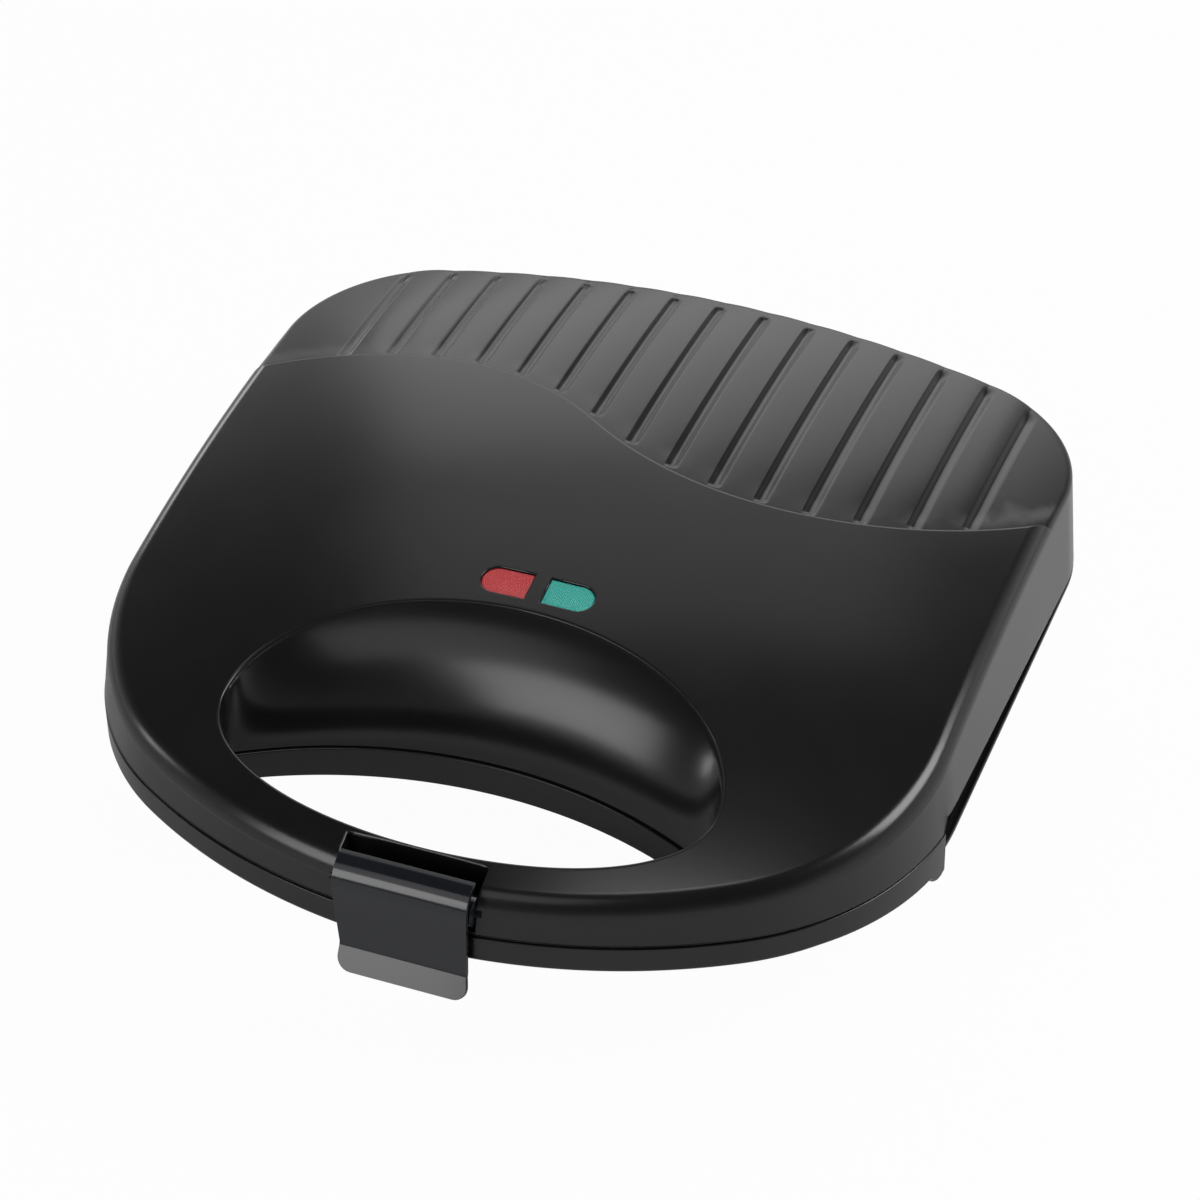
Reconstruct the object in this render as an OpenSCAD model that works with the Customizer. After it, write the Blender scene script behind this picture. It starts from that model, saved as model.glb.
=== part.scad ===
// Clamshell donut maker: a hinged lid over a base, each with a six-ring baking plate,
// a heating element and a reflector, and a clip at the front of the handle.
// The model is drawn about the parting plane and then lifted so that the feet stand on z = 0.

/* [Housing] */
// Width of both housings over the rim
body_w = 232; // [226:1:242]
// Depth of both housings over the rim, without hinge and latch
body_d = 228; // [224:1:234]
// Height of the crown above the parting plane
lid_h = 44; // [42:0.5:48]
// Depth of the base below the parting plane
base_h = 38; // [36:0.5:44]
// Thickness of the moulded walls
wall = 2.4; // [2:0.1:3]
// Gap between the two housings at the parting plane
part_gap = 0.4; // [0.3:0.1:0.8]
// Radius of the rear edge in plan
rear_r = 700; // [500:10:900]
// Radius of the two rear corners in plan
rear_corner_r = 39; // [33:1:43]
// Radius of the front edge in plan
front_r = 156; // [146:1:166]
// Radius of the two front corners in plan
front_corner_r = 73; // [67:1:79]
// Lean of the lid wall from the rim to the top edge
lid_draft = 1.8; // [0.5:0.1:2.4]
// Radius of the top edge of the lid
edge_r = 4.5; // [3:0.5:6]
// Radius of the crown across the lid
crown_r_across = 560; // [480:10:700]
// Radius of the crown from back to front
crown_r_along = 470; // [440:10:560]
// Distance of the crown's highest line behind the middle
crown_y = 62; // [50:1:70]

/* [Ribbed panel] */
// Drop from the front panel to the ribbed rear panel
step_h = 2.5; // [1.5:0.1:3]
// Number of grooves
groove_count = 15; // [9:2:17]
// Distance between grooves
groove_pitch = 13.3; // [12:0.1:13.5]
// Width of a groove
groove_w = 2.3; // [1.6:0.1:3]
// Depth of a groove
groove_depth = 0.9; // [0.5:0.1:1.2]
// Distance from the wave to the blunt end of each groove
groove_gap = 2.6; // [1.5:0.1:5]
// Distance of the grooves' rear ends from the rear edge
groove_end = 5.5; // [4:0.5:9]
// Distance of the middle groove to the right of the middle
groove_x = 1.6; // [0:0.1:2]
// Where the wave reaches furthest back, left of the middle
wave_hill_x = -60; // [-70:1:-50]
// How far back the wave reaches there
wave_hill_y = 58; // [52:1:64]
// Where the wave comes furthest forward, right of the middle
wave_dip_x = 42; // [35:1:50]
// How far back the wave is there
wave_dip_y = 26; // [20:1:32]
// Radius of the wave outside the hill
wave_hill_r = 130; // [100:5:160]
// Radius of the wave outside the dip
wave_dip_r = 104; // [95:1:130]

/* [Handle] */
// Distance of the finger recess from the sides of the housing
recess_side = 49; // [47:1:54]
// Width of the handle bar in front of the finger recess
bar_w = 12.6; // [11:0.2:14]
// Reach of the recess behind its widest line
recess_back = 41; // [37:0.5:43]
// Reach of the recess in front of its widest line
recess_front = 30; // [28:0.5:31]
// Distance of the finger lip behind the widest line of the recess
lip_behind = 19.4; // [18:0.2:21]
// Radius of the finger lip in plan
lip_r = 124; // [115:1:140]
// Rise of the straight part of the recess slope per millimetre
slope_rate = 0.45; // [0.35:0.05:0.5]
// Thickness of the base's half of the handle
grip_h = 8.2; // [7.5:0.1:9.5]
// Distance of the handle block's rear end behind the finger lip
grip_behind = 15.5; // [12:0.5:18]
// Height of the side gap in the lid at the handle block
side_gap_lid = 4.4; // [3:0.2:5]
// Height of the side gap in the base at the handle block
side_gap_base = 3; // [2:0.2:3.4]
// Height of the flange around the rim of the base
flange_h = 2.5; // [2:0.1:3]

/* [Latch] */
// Width of the latch
latch_w = 36; // [30:1:40]
// Outer radius of the latch bend about its pin
latch_r = 7.3; // [6.6:0.1:7.6]
// Thickness of the latch plate
latch_t = 2; // [1.8:0.1:2.4]
// Height of the latch pin above the parting plane
latch_pin_z = 6.2; // [5.8:0.1:6.6]
// Distance from the pin to the back wall of the latch pocket
latch_pocket_back = 6.2; // [5.5:0.1:6.5]
// Gap between the latch plate and the handle when the latch hangs open
latch_stand_off = 1.6; // [1.4:0.1:2]
// Radius of the latch pin
latch_pin_r = 1.25; // [1:0.05:1.5]
// Length of the flared finger lip of the latch
latch_lip = 7; // [6:0.5:9]
// Angle of the finger lip from the plate
latch_lip_angle = 26; // [20:1:40]
// Radius of the lower corners of the latch
latch_corner_r = 4; // [2:0.5:6]
// Reach of the latch hook behind the plate
latch_hook = 1.25; // [0.9:0.05:1.25]

/* [Hinge] */
// Distance of each hinge from the side of the housing
hinge_side = 46; // [43:1:51]
// Radius of the hinge knuckles
hinge_r = 4.8; // [4.2:0.1:4.8]
// Radius of the hinge pins
hinge_pin_r = 2; // [1.6:0.1:2.4]
// Width of the lid's knuckle
knuckle_w = 14; // [10:1:16]
// Width of each ear of the base
ear_w = 7; // [6:0.5:8]
// Distance of the hinge axis behind the rim of the housings
hinge_behind = 3.3; // [3:0.1:4]
// Radial clearance of the running pins
pin_clearance = 0.05; // [0.03:0.01:0.09]

/* [Baking plates] */
// Distance of a baking plate from the sides of the housing
plate_side = 12; // [10:1:14]
// Distance of a baking plate from the rear edge of the housing
plate_rear = 17; // [16:1:19]
// Distance of a baking plate behind the finger lip
plate_front = 13; // [12:1:15]
// Corner radius of a baking plate
plate_r = 12; // [8:1:16]
// Thickness of a baking plate
plate_t = 2; // [1.8:0.1:2.4]
// Radius of the dough section
dough_r = 10; // [8.5:0.25:10]
// Distance of the rings from the sides of the plate
ring_side = 9; // [7:0.5:11]
// Distance of the rings from the front and rear edges of the plate
ring_end = 7.5; // [6:0.5:9]
// Least distance between rings across the plate
ring_gap_x = 8; // [5:0.5:10]
// Least distance between rings from back to front
ring_gap_y = 5; // [4:0.5:7]
// Radius of the heating element's tube
heater_r = 3.2; // [2.8:0.1:3.5]
// Thickness of the sheet-metal reflector
sheet_t = 0.8; // [0.6:0.1:1.2]

/* [Lamps] */
// Length of a lamp lens
lens_l = 13.2; // [11:0.2:15]
// Depth of a lamp lens from back to front
lens_d = 8.4; // [7:0.2:9]
// Gap between the two lenses
lens_gap = 4.6; // [3.5:0.2:6]
// Distance of the lenses behind the finger lip
lens_behind = 29.6; // [28:0.2:33]
// Thickness of a lamp lens
lens_t = 4; // [3.6:0.1:5]
// Distance of the lens face below the crown
lens_sink = 0.4; // [0.2:0.1:0.8]

/* [Feet] */
// Height of a rubber foot under the base
foot_h = 4; // [3:0.5:6]
// Radius of a rubber foot
foot_r = 9; // [7:0.5:10]
// Distance of the feet from the sides of the housing
foot_inset = 41; // [37:1:47]
// Distance of the front feet behind the finger lip
foot_front = 50; // [48:1:54]
// Distance of the rear feet from the rear edge of the housing
foot_rear = 34; // [32:1:40]

/* [Fasteners and inlet] */
// Radius of the cord inlet bore
inlet_r = 4.5; // [3.5:0.25:5.5]
// Length of the cord inlet bore
inlet_l = 12; // [11:0.5:14]
// Radius of the screw shanks
screw_r = 1.4; // [1.2:0.1:1.6]
// Radius of the screw bosses
boss_r = 3.6; // [3.4:0.1:4]
// Distance of the side screws from the sides of the housing
boss_side = 28; // [26:1:30]
// Distance of the handle screws from the sides of the housing
boss_handle = 52; // [50:1:54]

/* [Hidden] */
$fn = 64;
half_w = body_w / 2;
half_d = body_d / 2;
half_gap = part_gap / 2;
far = 300;
seat = 0.05;
fit = 0.3;
head_sink = 0.1;
screw_l = 6;

// Places of the finger recess, the lip, the handle block and the lenses
recess_w = body_w - 2 * recess_side;
recess_y = half_d - bar_w - recess_front;
lip_y = recess_y - lip_behind;
grip_end_y = lip_y - grip_behind;
lens_y = lip_y - lens_behind;
hinge_span = body_w - 2 * hinge_side;

// Plate between its distances to the housing, and the largest rings that fit on it
plate_w = body_w - 2 * plate_side;
plate_d = half_d - plate_rear + lip_y - plate_front;
plate_y = (half_d - plate_rear - lip_y + plate_front) / 2;
ring_out = min((plate_w - 2 * ring_side - 2 * ring_gap_x) / 6, (plate_d - 2 * ring_end - ring_gap_y) / 4);
ring_r = ring_out - dough_r;
ring_pitch_x = (plate_w - 2 * ring_side - 2 * ring_out) / 2;
ring_pitch_y = plate_d - 2 * ring_end - 2 * ring_out;

// Hinge axis and the reach of the whole object, which centre the model on its box
hinge_y = half_d + hinge_behind;
latch_pin_y = -half_d - latch_stand_off - latch_t + latch_r;
latch_face_y = latch_pin_y - latch_r;
latch_foot_z = -grip_h - part_gap - 4;
reach_front = -latch_face_y + (latch_lip - latch_t / 2) * sin(latch_lip_angle)
    + latch_t / 2 * (1 - cos(latch_lip_angle));
reach_rear = hinge_y + hinge_r;
shift_y = (reach_front - reach_rear) / 2;
shift_z = base_h + foot_h;

// Centres of the plan arcs, each tangent to its neighbours
rear_cy = half_d - rear_r;
rear_corner_x = half_w - rear_corner_r;
rear_corner_y = rear_cy + sqrt(pow(rear_r - rear_corner_r, 2) - pow(rear_corner_x, 2));
front_cy = front_r - half_d;
front_corner_x = half_w - front_corner_r;
front_corner_y = front_cy - sqrt(pow(front_r - front_corner_r, 2) - pow(front_corner_x, 2));
lip_cy = -lip_y - lip_r;
crown_cz = lid_h - crown_r_along;
wave_mid_x = (wave_hill_x + wave_dip_x) / 2;
wave_rise = wave_hill_y - wave_dip_y;
wave_r = (pow(wave_dip_x - wave_hill_x, 2) + pow(wave_rise, 2)) / (4 * wave_rise);
side_steps = 9;
frame_t = 2;
ledge_t = 1.6;
ledge_w = 3;
face_z = half_gap;
shell_r = dough_r + plate_t;
heater_z = face_z + shell_r + heater_r + seat;
reflector_z = heater_z + heater_r + 1;
reflector_w = plate_w - 2 * ledge_w - 1;
reflector_d = plate_d - 2 * ledge_w - 1;
pan_step_y = 7;
pan_step_z = face_z + shell_r + 0.6;
boss_points = [for (s = [-1, 1]) for (p = [
    [hinge_span / 2 - 20, half_d - wall - boss_r - 4.8],
    [half_w - boss_side, -grip_end_y - 12],
    [half_w - boss_handle, -half_d + 25]]) [s * p[0], p[1]]];
post_points = [for (s = [-1, 1]) [s * ring_pitch_x / 2, plate_y]];
ring_points = [for (i = [-1:1]) for (j = [-0.5, 0.5]) [i * ring_pitch_x, plate_y + j * ring_pitch_y]];

pocket_back_y = latch_pin_y + latch_pocket_back;
pocket_floor_z = latch_pin_z - latch_r + 2.5;
lens_z = crown_z(lens_gap / 2 + lens_l / 2, -lens_y);
lamp_r = 2.4;
lamp_l = 12;
lamp_gap = 1.5;
lamp_wire_r = 0.25;
lamp_wire_gap = 0.8;
lamp_z = lens_z - lens_t - lamp_gap - lamp_r;
holder_w = 2 * (lamp_l + 2);
heater_in = 5;
heater_bend_x = -reflector_w / 2 + sheet_t + heater_in + heater_r + ring_pitch_y / 2;
heater_l = reflector_w / 2 - heater_bend_x - 16.5;
flange_in = 2.5;
front_bend = 16;
lip_under = 3.6;
lip_relief = 2.8;
bowl_draft = 6;
bowl_bend = 12;
bowl_slant = 1.15;
ear_offset = knuckle_w / 2 + fit + ear_w / 2;
pin_l = knuckle_w + 2 * (fit + ear_w) + 0.4;
stem_r = 2.4;
foot_points = [for (y = [-lip_y + foot_front, half_d - foot_rear]) for (s = [-1, 1])
    [s * (half_w - foot_inset), y]];
inlet_y = half_d - 3.5;
inlet_z = -base_h / 2;
block_w = 30;

black = "#1b1b1d";
metal = "#b9bcc0";
coating = "#2a2b2d";

module in_place() translate([0, shift_y, shift_z]) children();
module flip_up() mirror([0, 0, 1]) children();

// Points of an arc without its first point, so that arcs join into one outline
function arc(cx, cy, r, from, to, n) = [for (i = [1:n])
    let (a = from + (to - from) * i / n) [cx + r * cos(a), cy + r * sin(a)]];
function mirrored(points) = [for (i = [len(points) - 1:-1:0])
    if (abs(points[i][0]) > 0.001) [-points[i][0], points[i][1]]];

// Plan outline of the housings, moved outwards by off
function half_outline(off) = let (
    front_a = atan2(front_corner_y - front_cy, front_corner_x),
    rear_a = atan2(rear_corner_y - rear_cy, rear_corner_x))
    concat([[0, -half_d - off]],
        arc(0, front_cy, front_r + off, -90, front_a, 7),
        arc(front_corner_x, front_corner_y, front_corner_r + off, front_a, 0, 8),
        [for (i = [1:side_steps]) [half_w + off,
            front_corner_y + (rear_corner_y - front_corner_y) * i / side_steps]],
        arc(rear_corner_x, rear_corner_y, rear_corner_r + off, 0, rear_a, 8),
        arc(0, rear_cy, rear_r + off, rear_a, 90, 4));
function outline(off) = let (h = half_outline(off)) concat(h, mirrored(h));

// Height of the crown over a point of the plan
function crown_z(x, y) = crown_cz + sqrt(
    pow(crown_r_along - crown_r_across + sqrt(pow(crown_r_across, 2) - x * x), 2)
    - pow(y - crown_y, 2));

// The wave between the two panels: four arcs, tangent where they meet
function bow(r, d) = r - sqrt(r * r - d * d);
function wave_y(x) =
    x < wave_hill_x ? wave_hill_y - bow(wave_hill_r, x - wave_hill_x) :
    x < wave_mid_x ? wave_hill_y - bow(wave_r, x - wave_hill_x) :
    x < wave_dip_x ? wave_dip_y + bow(wave_r, x - wave_dip_x) :
    wave_dip_y + bow(wave_dip_r, x - wave_dip_x);

// Closed solid through rings of equal length, with flat first and last rings
module loft(rings) {
    n = len(rings[0]);
    last = len(rings) - 1;
    polyhedron(
        points = [for (ring = rings) each ring],
        faces = concat(
            [[for (i = [0:n - 1]) i]],
            [for (k = [0:last - 1]) for (i = [0:n - 1]) let (
                a = k * n + i, b = k * n + (i + 1) % n)
                each [[a, a + n, b], [b, a + n, b + n]]],
            [[for (i = [n - 1:-1:0]) last * n + i]]));
}

// Barrel-shaped crown, its surface moved inwards by drop
module crown(drop) translate([0, crown_y, crown_cz]) rotate([0, 90, 0])
    rotate_extrude($fn = 360) intersection() {
        translate([crown_r_along - crown_r_across, 0])
            circle(r = crown_r_across - drop, $fn = 360);
        translate([crown_r_along - 130, -half_w - 15]) square([140, body_w + 30]);
    }

// Wall and rounded top edge of the lid, open upwards above the crown
module lid_envelope() {
    turn = [0, 22, 44, 62];
    rim = outline(0);
    top = outline(-lid_draft);
    loft(concat(
        [[for (p = rim) [p[0], p[1], half_gap]]],
        [for (a = turn) let (ring = outline(-lid_draft - edge_r * (1 - cos(a))))
            [for (i = [0:len(ring) - 1])
                [ring[i][0], ring[i][1],
                crown_z(top[i][0], top[i][1]) + edge_r * (sin(a) - 0.93)]]],
        [let (ring = outline(-lid_draft - edge_r - 3))
            [for (i = [0:len(ring) - 1]) [ring[i][0], ring[i][1],
                crown_z(top[i][0], top[i][1]) + 3]]],
        [[for (p = outline(-lid_draft - edge_r - 3)) [p[0], p[1], lid_h + 10]]]));
}

module rear_zone(forward) polygon(concat(
    [for (x = [-half_w - 1:6:half_w + 1]) [x, wave_y(x) - forward]],
    [[half_w + 6, wave_y(half_w) - forward], [half_w + 6, far], [-half_w - 6, far],
    [-half_w - 6, wave_y(-half_w) - forward]]));

// What is taken off the crown to leave the lowered panel
module panel_cut(drop, forward) difference() {
    linear_extrude(lid_h + 20) rear_zone(forward);
    crown(drop);
}

module groove_cut() difference() {
    linear_extrude(lid_h + 20) intersection() {
        polygon(outline(-groove_end));
        for (i = [0:groove_count - 1]) {
            x = groove_x + (i - (groove_count - 1) / 2) * groove_pitch;
            y = wave_y(x) + groove_gap;
            translate([x - groove_w / 2, y]) square([groove_w, far]);
        }
    }
    crown(step_h + groove_depth);
}

// Oval of the finger recess, its edge moved outwards by grow
module recess_plan(grow) polygon([for (a = [0:7.5:359])
    [(recess_w / 2 + grow) * cos(a),
    -recess_y + ((sin(a) > 0 ? recess_back : recess_front) + grow) * sin(a)]]);

// Hill behind the finger lip: its slope starts upright at the lip and eases towards the rim
module recess_slope(inset) {
    run = recess_back + lip_y - recess_y + 3;
    rise = crown_z(0, -lip_y + run) - slope_rate * run;
    translate([0, lip_cy, 0]) rotate_extrude($fn = 180) polygon(concat(
        [[lip_r + inset, -base_h]],
        [for (t = [0, 0.02, 0.08, 0.18, 0.32, 0.5, 0.72, 1])
            [lip_r + inset + run * t,
            slope_rate * run * t + rise * sqrt(1 - (1 - t) * (1 - t)) - inset]],
        [[lip_r + 60, rise + slope_rate * 60], [lip_r + 60, -base_h]]));
}

// Space in front of the finger lip, through both halves of the handle
module finger_hole(grow) intersection() {
    linear_extrude(far, center = true) recess_plan(grow);
    translate([0, lip_cy, -far / 2]) cylinder(r = lip_r + grow, h = far, $fn = 180);
}

// Underside of the base's lip, tapered away from the fingers
module finger_relief() intersection() {
    linear_extrude(far, center = true) recess_plan(0);
    translate([0, lip_cy, -grip_h - 9])
        cylinder(r1 = lip_r + 4 * lip_under, r2 = lip_r, h = 9 + lip_relief, $fn = 180);
}

module recess_cut() difference() {
    translate([0, 0, -1]) linear_extrude(lid_h + 20) recess_plan(0);
    recess_slope(0);
}

module prism(off, from, to) translate([0, 0, from]) linear_extrude(to - from) polygon(outline(off));

module lid_cavity() {
    module inside() intersection() {
        prism(-wall - lid_draft, -1, lid_h);
        difference() {
            crown(wall);
            panel_cut(wall + step_h, wall);
        }
    }
    difference() {
        inside();
        linear_extrude(far, center = true) recess_plan(wall);
    }
    intersection() {
        inside();
        recess_slope(wall);
    }
}

// Solid cheeks and floor around the latch pocket
module latch_block() translate([-latch_w / 2 - wall, pocket_back_y + wall - far, -1])
    cube([latch_w + 2 * wall, far, lid_h]);

module latch_pocket() translate([-latch_w / 2 - fit, pocket_back_y - far, pocket_floor_z])
    cube([latch_w + 2 * fit, far, lid_h]);

module bosses() for (p = boss_points) translate([p[0], p[1], -base_h])
    cylinder(r = boss_r, h = base_h + lid_h);

module boss_holes(from) for (p = boss_points) translate([p[0], p[1], from])
    cylinder(r = screw_r + seat, h = screw_l + head_sink + 0.5 - frame_t);

// Wedge that opens the side gap from the rear towards the handle block
module side_wedge(height) for (s = [0, 1]) mirror([s, 0, 0])
    translate([half_w - 8, 0, 0]) rotate([90, 0, 90]) linear_extrude(20)
        polygon([[-grip_end_y, height], [rear_corner_y, half_gap], [rear_corner_y, -1],
            [-grip_end_y, -1]]);

function lens_outline(grow) = let (x0 = lens_gap / 2 - grow, r = lens_d / 2 + grow,
    x1 = lens_gap / 2 + lens_l - lens_d / 2)
    concat([[x0, -r], [x1, -r]], arc(x1, 0, r, -90, 90, 12), [[x0, r]]);

module lens_prism(grow, from, to) translate([0, -lens_y, from]) linear_extrude(to - from)
    polygon(lens_outline(grow));

module knuckle(w, up) rotate([90, 0, 90]) linear_extrude(w, center = true) union() {
    translate([hinge_y, 0]) circle(r = hinge_r);
    translate([hinge_y - hinge_r - 7, up ? half_gap : -hinge_r])
        square([hinge_r + 7, hinge_r - half_gap]);
}

module hinge_bore(r) translate([-half_w, hinge_y, 0]) rotate([0, 90, 0]) cylinder(r = r, h = body_w);

// Plan of an inner frame, which closes a housing around its plate and the finger hole
module frame_plan(grow) difference() {
    polygon(outline(-wall - fit + grow));
    intersection() {
        recess_plan(wall + fit - grow);
        translate([0, lip_cy]) circle(r = lip_r + wall + fit - grow, $fn = 180);
    }
}

module latch_notch(grow) translate([-latch_w / 2 - wall - fit - grow, -far])
    square([latch_w + 2 * (wall + fit + grow), far + pocket_back_y + wall + fit + grow]);

module plate_plan(grow) translate([0, plate_y]) rounded_rect(plate_w + 2 * grow,
    plate_d + 2 * grow, plate_r + grow);

module rounded_rect(w, d, r) polygon([for (q = [[1, -1, -90], [1, 1, 0], [-1, 1, 90], [-1, -1, 180]])
    each concat([[q[0] * (w / 2 - r) + r * cos(q[2]), q[1] * (d / 2 - r) + r * sin(q[2])]],
        arc(q[0] * (w / 2 - r), q[1] * (d / 2 - r), r, q[2], q[2] + 90, 6))]);

module upper_housing() color(black) in_place() difference() {
    union() {
        difference() {
            intersection() {
                crown(0);
                lid_envelope();
            }
            panel_cut(step_h, 0);
            groove_cut();
            difference() {
                lid_cavity();
                bosses();
                latch_block();
            }
            recess_cut();
        }
        for (s = [-1, 1]) translate([s * hinge_span / 2, 0, 0]) knuckle(knuckle_w, true);
    }
    side_wedge(side_gap_lid);
    latch_pocket();
    latch_axis(latch_pin_r, latch_w + 2 * wall);
    hinge_bore(hinge_pin_r + pin_clearance);
    boss_holes(face_z + frame_t);
    for (s = [0, 1]) mirror([s, 0, 0]) lens_prism(0.1, lens_z - 9, lid_h + 9);
    translate([0, 0, -1]) linear_extrude(1 + face_z + frame_t) difference() {
        frame_plan(fit);
        latch_notch(-fit);
    }
}

// Inner frame, drawn for the lid: a flat bezel with a ledge that carries the plate rim
module inner_frame() difference() {
    union() {
        translate([0, 0, face_z]) linear_extrude(frame_t) frame_plan(0);
        translate([0, 0, face_z + frame_t]) linear_extrude(ledge_t) intersection() {
            plate_plan(fit + 2);
            polygon(outline(-flange_in - wall - fit));
        }
    }
    translate([0, 0, -1]) linear_extrude(face_z + frame_t + 1) plate_plan(fit);
    linear_extrude(far) plate_plan(-ledge_w);
    for (p = boss_points) translate([p[0], p[1], face_z + head_sink]) {
        screw_shape(fit / 2, frame_t + 1);
        translate([0, 0, -1]) cylinder(r = 2 * screw_r + fit / 2, h = 1);
    }
}

// Countersunk screw, its head at z = 0 and its shank upwards, widened by grow
module screw_shape(grow, l) {
    cylinder(r1 = 2 * screw_r + grow, r2 = screw_r + grow, h = screw_r);
    cylinder(r = screw_r + grow, h = l);
}

module frame_screws() for (p = boss_points) translate([p[0], p[1], face_z + head_sink]) difference() {
    screw_shape(0, screw_l);
    cross_recess(screw_r);
}

module cross_recess(size) for (a = [0, 90]) rotate(a)
    cube([2 * size, size / 2, 1.2], center = true);

// Baking plate, drawn for the lid: cooking face down, ring shells and screw posts on its back
module baking_plate() difference() {
    union() {
        translate([0, 0, face_z]) linear_extrude(plate_t) plate_plan(0);
        for (p = ring_points) translate([p[0], p[1], face_z]) ring_section(shell_r);
        for (p = post_points) translate([p[0], p[1], face_z])
            cylinder(r = boss_r, h = reflector_z - face_z);
    }
    for (p = ring_points) translate([p[0], p[1], face_z]) ring_section(dough_r);
    for (p = post_points) translate([p[0], p[1], reflector_z - 7])
        cylinder(r = screw_r + seat, h = 8);
}

module ring_section(r) rotate_extrude() intersection() {
    translate([ring_r, 0]) circle(r = r);
    translate([0, r == dough_r ? -1 : 0]) square([2 * ring_r + r, r + 2]);
}

module heating_element() translate([0, plate_y, heater_z]) {
    leg_y = ring_pitch_y / 2;
    translate([heater_bend_x, 0, 0]) rotate(90) rotate_extrude(angle = 180) translate([leg_y, 0])
        circle(r = heater_r);
    for (s = [-1, 1]) translate([heater_bend_x, s * leg_y, 0]) rotate([0, 90, 0]) {
        cylinder(r = heater_r, h = heater_l);
        translate([0, 0, heater_l]) cylinder(r = heater_r * 0.8, h = 4);
        translate([0, 0, heater_l + 4]) cylinder(r = heater_r * 0.35, h = 5);
    }
}

// Sheet-metal pan in two steps, open towards the plate
module reflector() translate([0, plate_y, 0]) difference() {
    union() {
        pan(0, 0, face_z + plate_t + seat, pan_step_z + sheet_t);
        pan(pan_step_y, 0, pan_step_z, reflector_z + sheet_t);
    }
    pan(0, sheet_t, 0, pan_step_z);
    pan(pan_step_y, sheet_t, 0, reflector_z);
    for (s = [-1, 1]) translate([s * ring_pitch_x / 2, 0, 0])
        cylinder(r = screw_r + fit / 2, h = far);
}

module pan(step, inset, from, to) translate([0, 0, from]) linear_extrude(to - from)
    rounded_rect(reflector_w - 2 * inset, reflector_d - 2 * (step + inset), plate_r - ledge_w - inset);

module plate_screws() for (p = post_points) translate([p[0], p[1], reflector_z + sheet_t])
    difference() {
        union() {
            cylinder(r = 2 * screw_r, h = 1.4);
            translate([0, 0, -6]) cylinder(r = screw_r, h = 6.5);
        }
        translate([0, 0, 1.4]) cross_recess(screw_r);
    }

module upper_inner_frame() color(black) in_place() difference() {
    inner_frame();
    translate([0, 0, -1]) linear_extrude(far) latch_notch(0);
}
module upper_baking_plate() color(coating) in_place() baking_plate();
module upper_heating_element() color(metal) in_place() heating_element();
module upper_reflector() color(metal) in_place() reflector();
module upper_frame_screws() color(metal) in_place() frame_screws();
module upper_plate_screws() color(metal) in_place() plate_screws();

// Lens with a flange that rests against the underside of the crown
module lens() {
    intersection() {
        lens_prism(0, lens_z - lens_t, lid_h);
        crown(lens_sink);
    }
    intersection() {
        lens_prism(1, lens_z - lens_t, lid_h);
        crown(wall + 0.1);
    }
}
module red_lens() color("#c8343c") in_place() mirror([1, 0, 0]) lens();
module green_lens() color("#2fae98") in_place() lens();

// Cradle that stands on the reflector and holds the two neon lamps under the lenses
module lamp_holder() color("#d8d6cf") in_place() difference() {
    translate([0, -lens_y, reflector_z + sheet_t]) {
        translate([-holder_w / 2, -4, 0]) cube([holder_w, 8, 1.2]);
        for (i = [-1:1]) translate([i * (holder_w / 2 - 0.8) - 0.8, -4, 0])
            cube([1.6, 8, lamp_z - reflector_z - sheet_t + 1]);
    }
    lamp_glass(lamp_r + seat, holder_w + 2, 0);
}
module lamp_glass(r, l, x) translate([x, -lens_y, lamp_z]) rotate([0, 90, 0])
    cylinder(r = r, h = l, center = true);
module neon_lamp(side) {
    x = side * (holder_w / 4);
    lamp_glass(lamp_r, lamp_l - 2 * lamp_r, x);
    for (s = [-1, 1]) translate([x + s * (lamp_l / 2 - lamp_r), -lens_y, lamp_z]) sphere(r = lamp_r);
    for (s = [-1, 1]) translate([x, -lens_y + s * lamp_wire_gap, lamp_z]) rotate([0, side * 90, 0])
        cylinder(r = lamp_wire_r, h = lamp_l / 2 + 3);
}
module red_neon_lamp() color("#e8a090") in_place() neon_lamp(-1);
module green_neon_lamp() color("#a0e0d0") in_place() neon_lamp(1);

module thermostat() color("#e4e1d8") in_place()
    translate([-ring_pitch_x / 2 - 14, plate_y + 8, reflector_z + sheet_t]) {
        cylinder(r = 8, h = 2.5);
        cylinder(r = 6.5, h = 6.5);
        for (s = [-1, 1]) translate([s * 5 - 2, -0.4, 4]) cube([4, 0.8, 5]);
        translate([-12, -4, 0]) cube([24, 8, 0.8]);
    }
module thermal_fuse() color("#cfcac0") in_place()
    translate([ring_pitch_x / 2 + 12, plate_y, reflector_z + sheet_t + 2]) rotate([0, 90, 0]) {
        cylinder(r = 2, h = 11, center = true);
        cylinder(r = 0.5, h = 26, center = true);
    }

module latch_axis(r, l) translate([-l / 2, latch_pin_y, latch_pin_z]) rotate([0, 90, 0])
    cylinder(r = r, h = l);
module latch_profile() {
    translate([latch_pin_y, latch_pin_z]) {
        circle(r = latch_r - 3.3);
        intersection() {
            circle(r = latch_r);
            translate([-latch_r, 0]) square(latch_r);
        }
    }
    translate([latch_face_y, latch_foot_z]) square([latch_t, latch_pin_z - latch_foot_z]);
    translate([latch_face_y, latch_foot_z]) square([latch_t + latch_hook, 4]);
    translate([latch_face_y, latch_foot_z]) rotate(-latch_lip_angle) {
        translate([0, -latch_lip + latch_t / 2]) square([latch_t, latch_lip]);
        translate([latch_t / 2, -latch_lip + latch_t / 2]) circle(r = latch_t / 2);
    }
}
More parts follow.
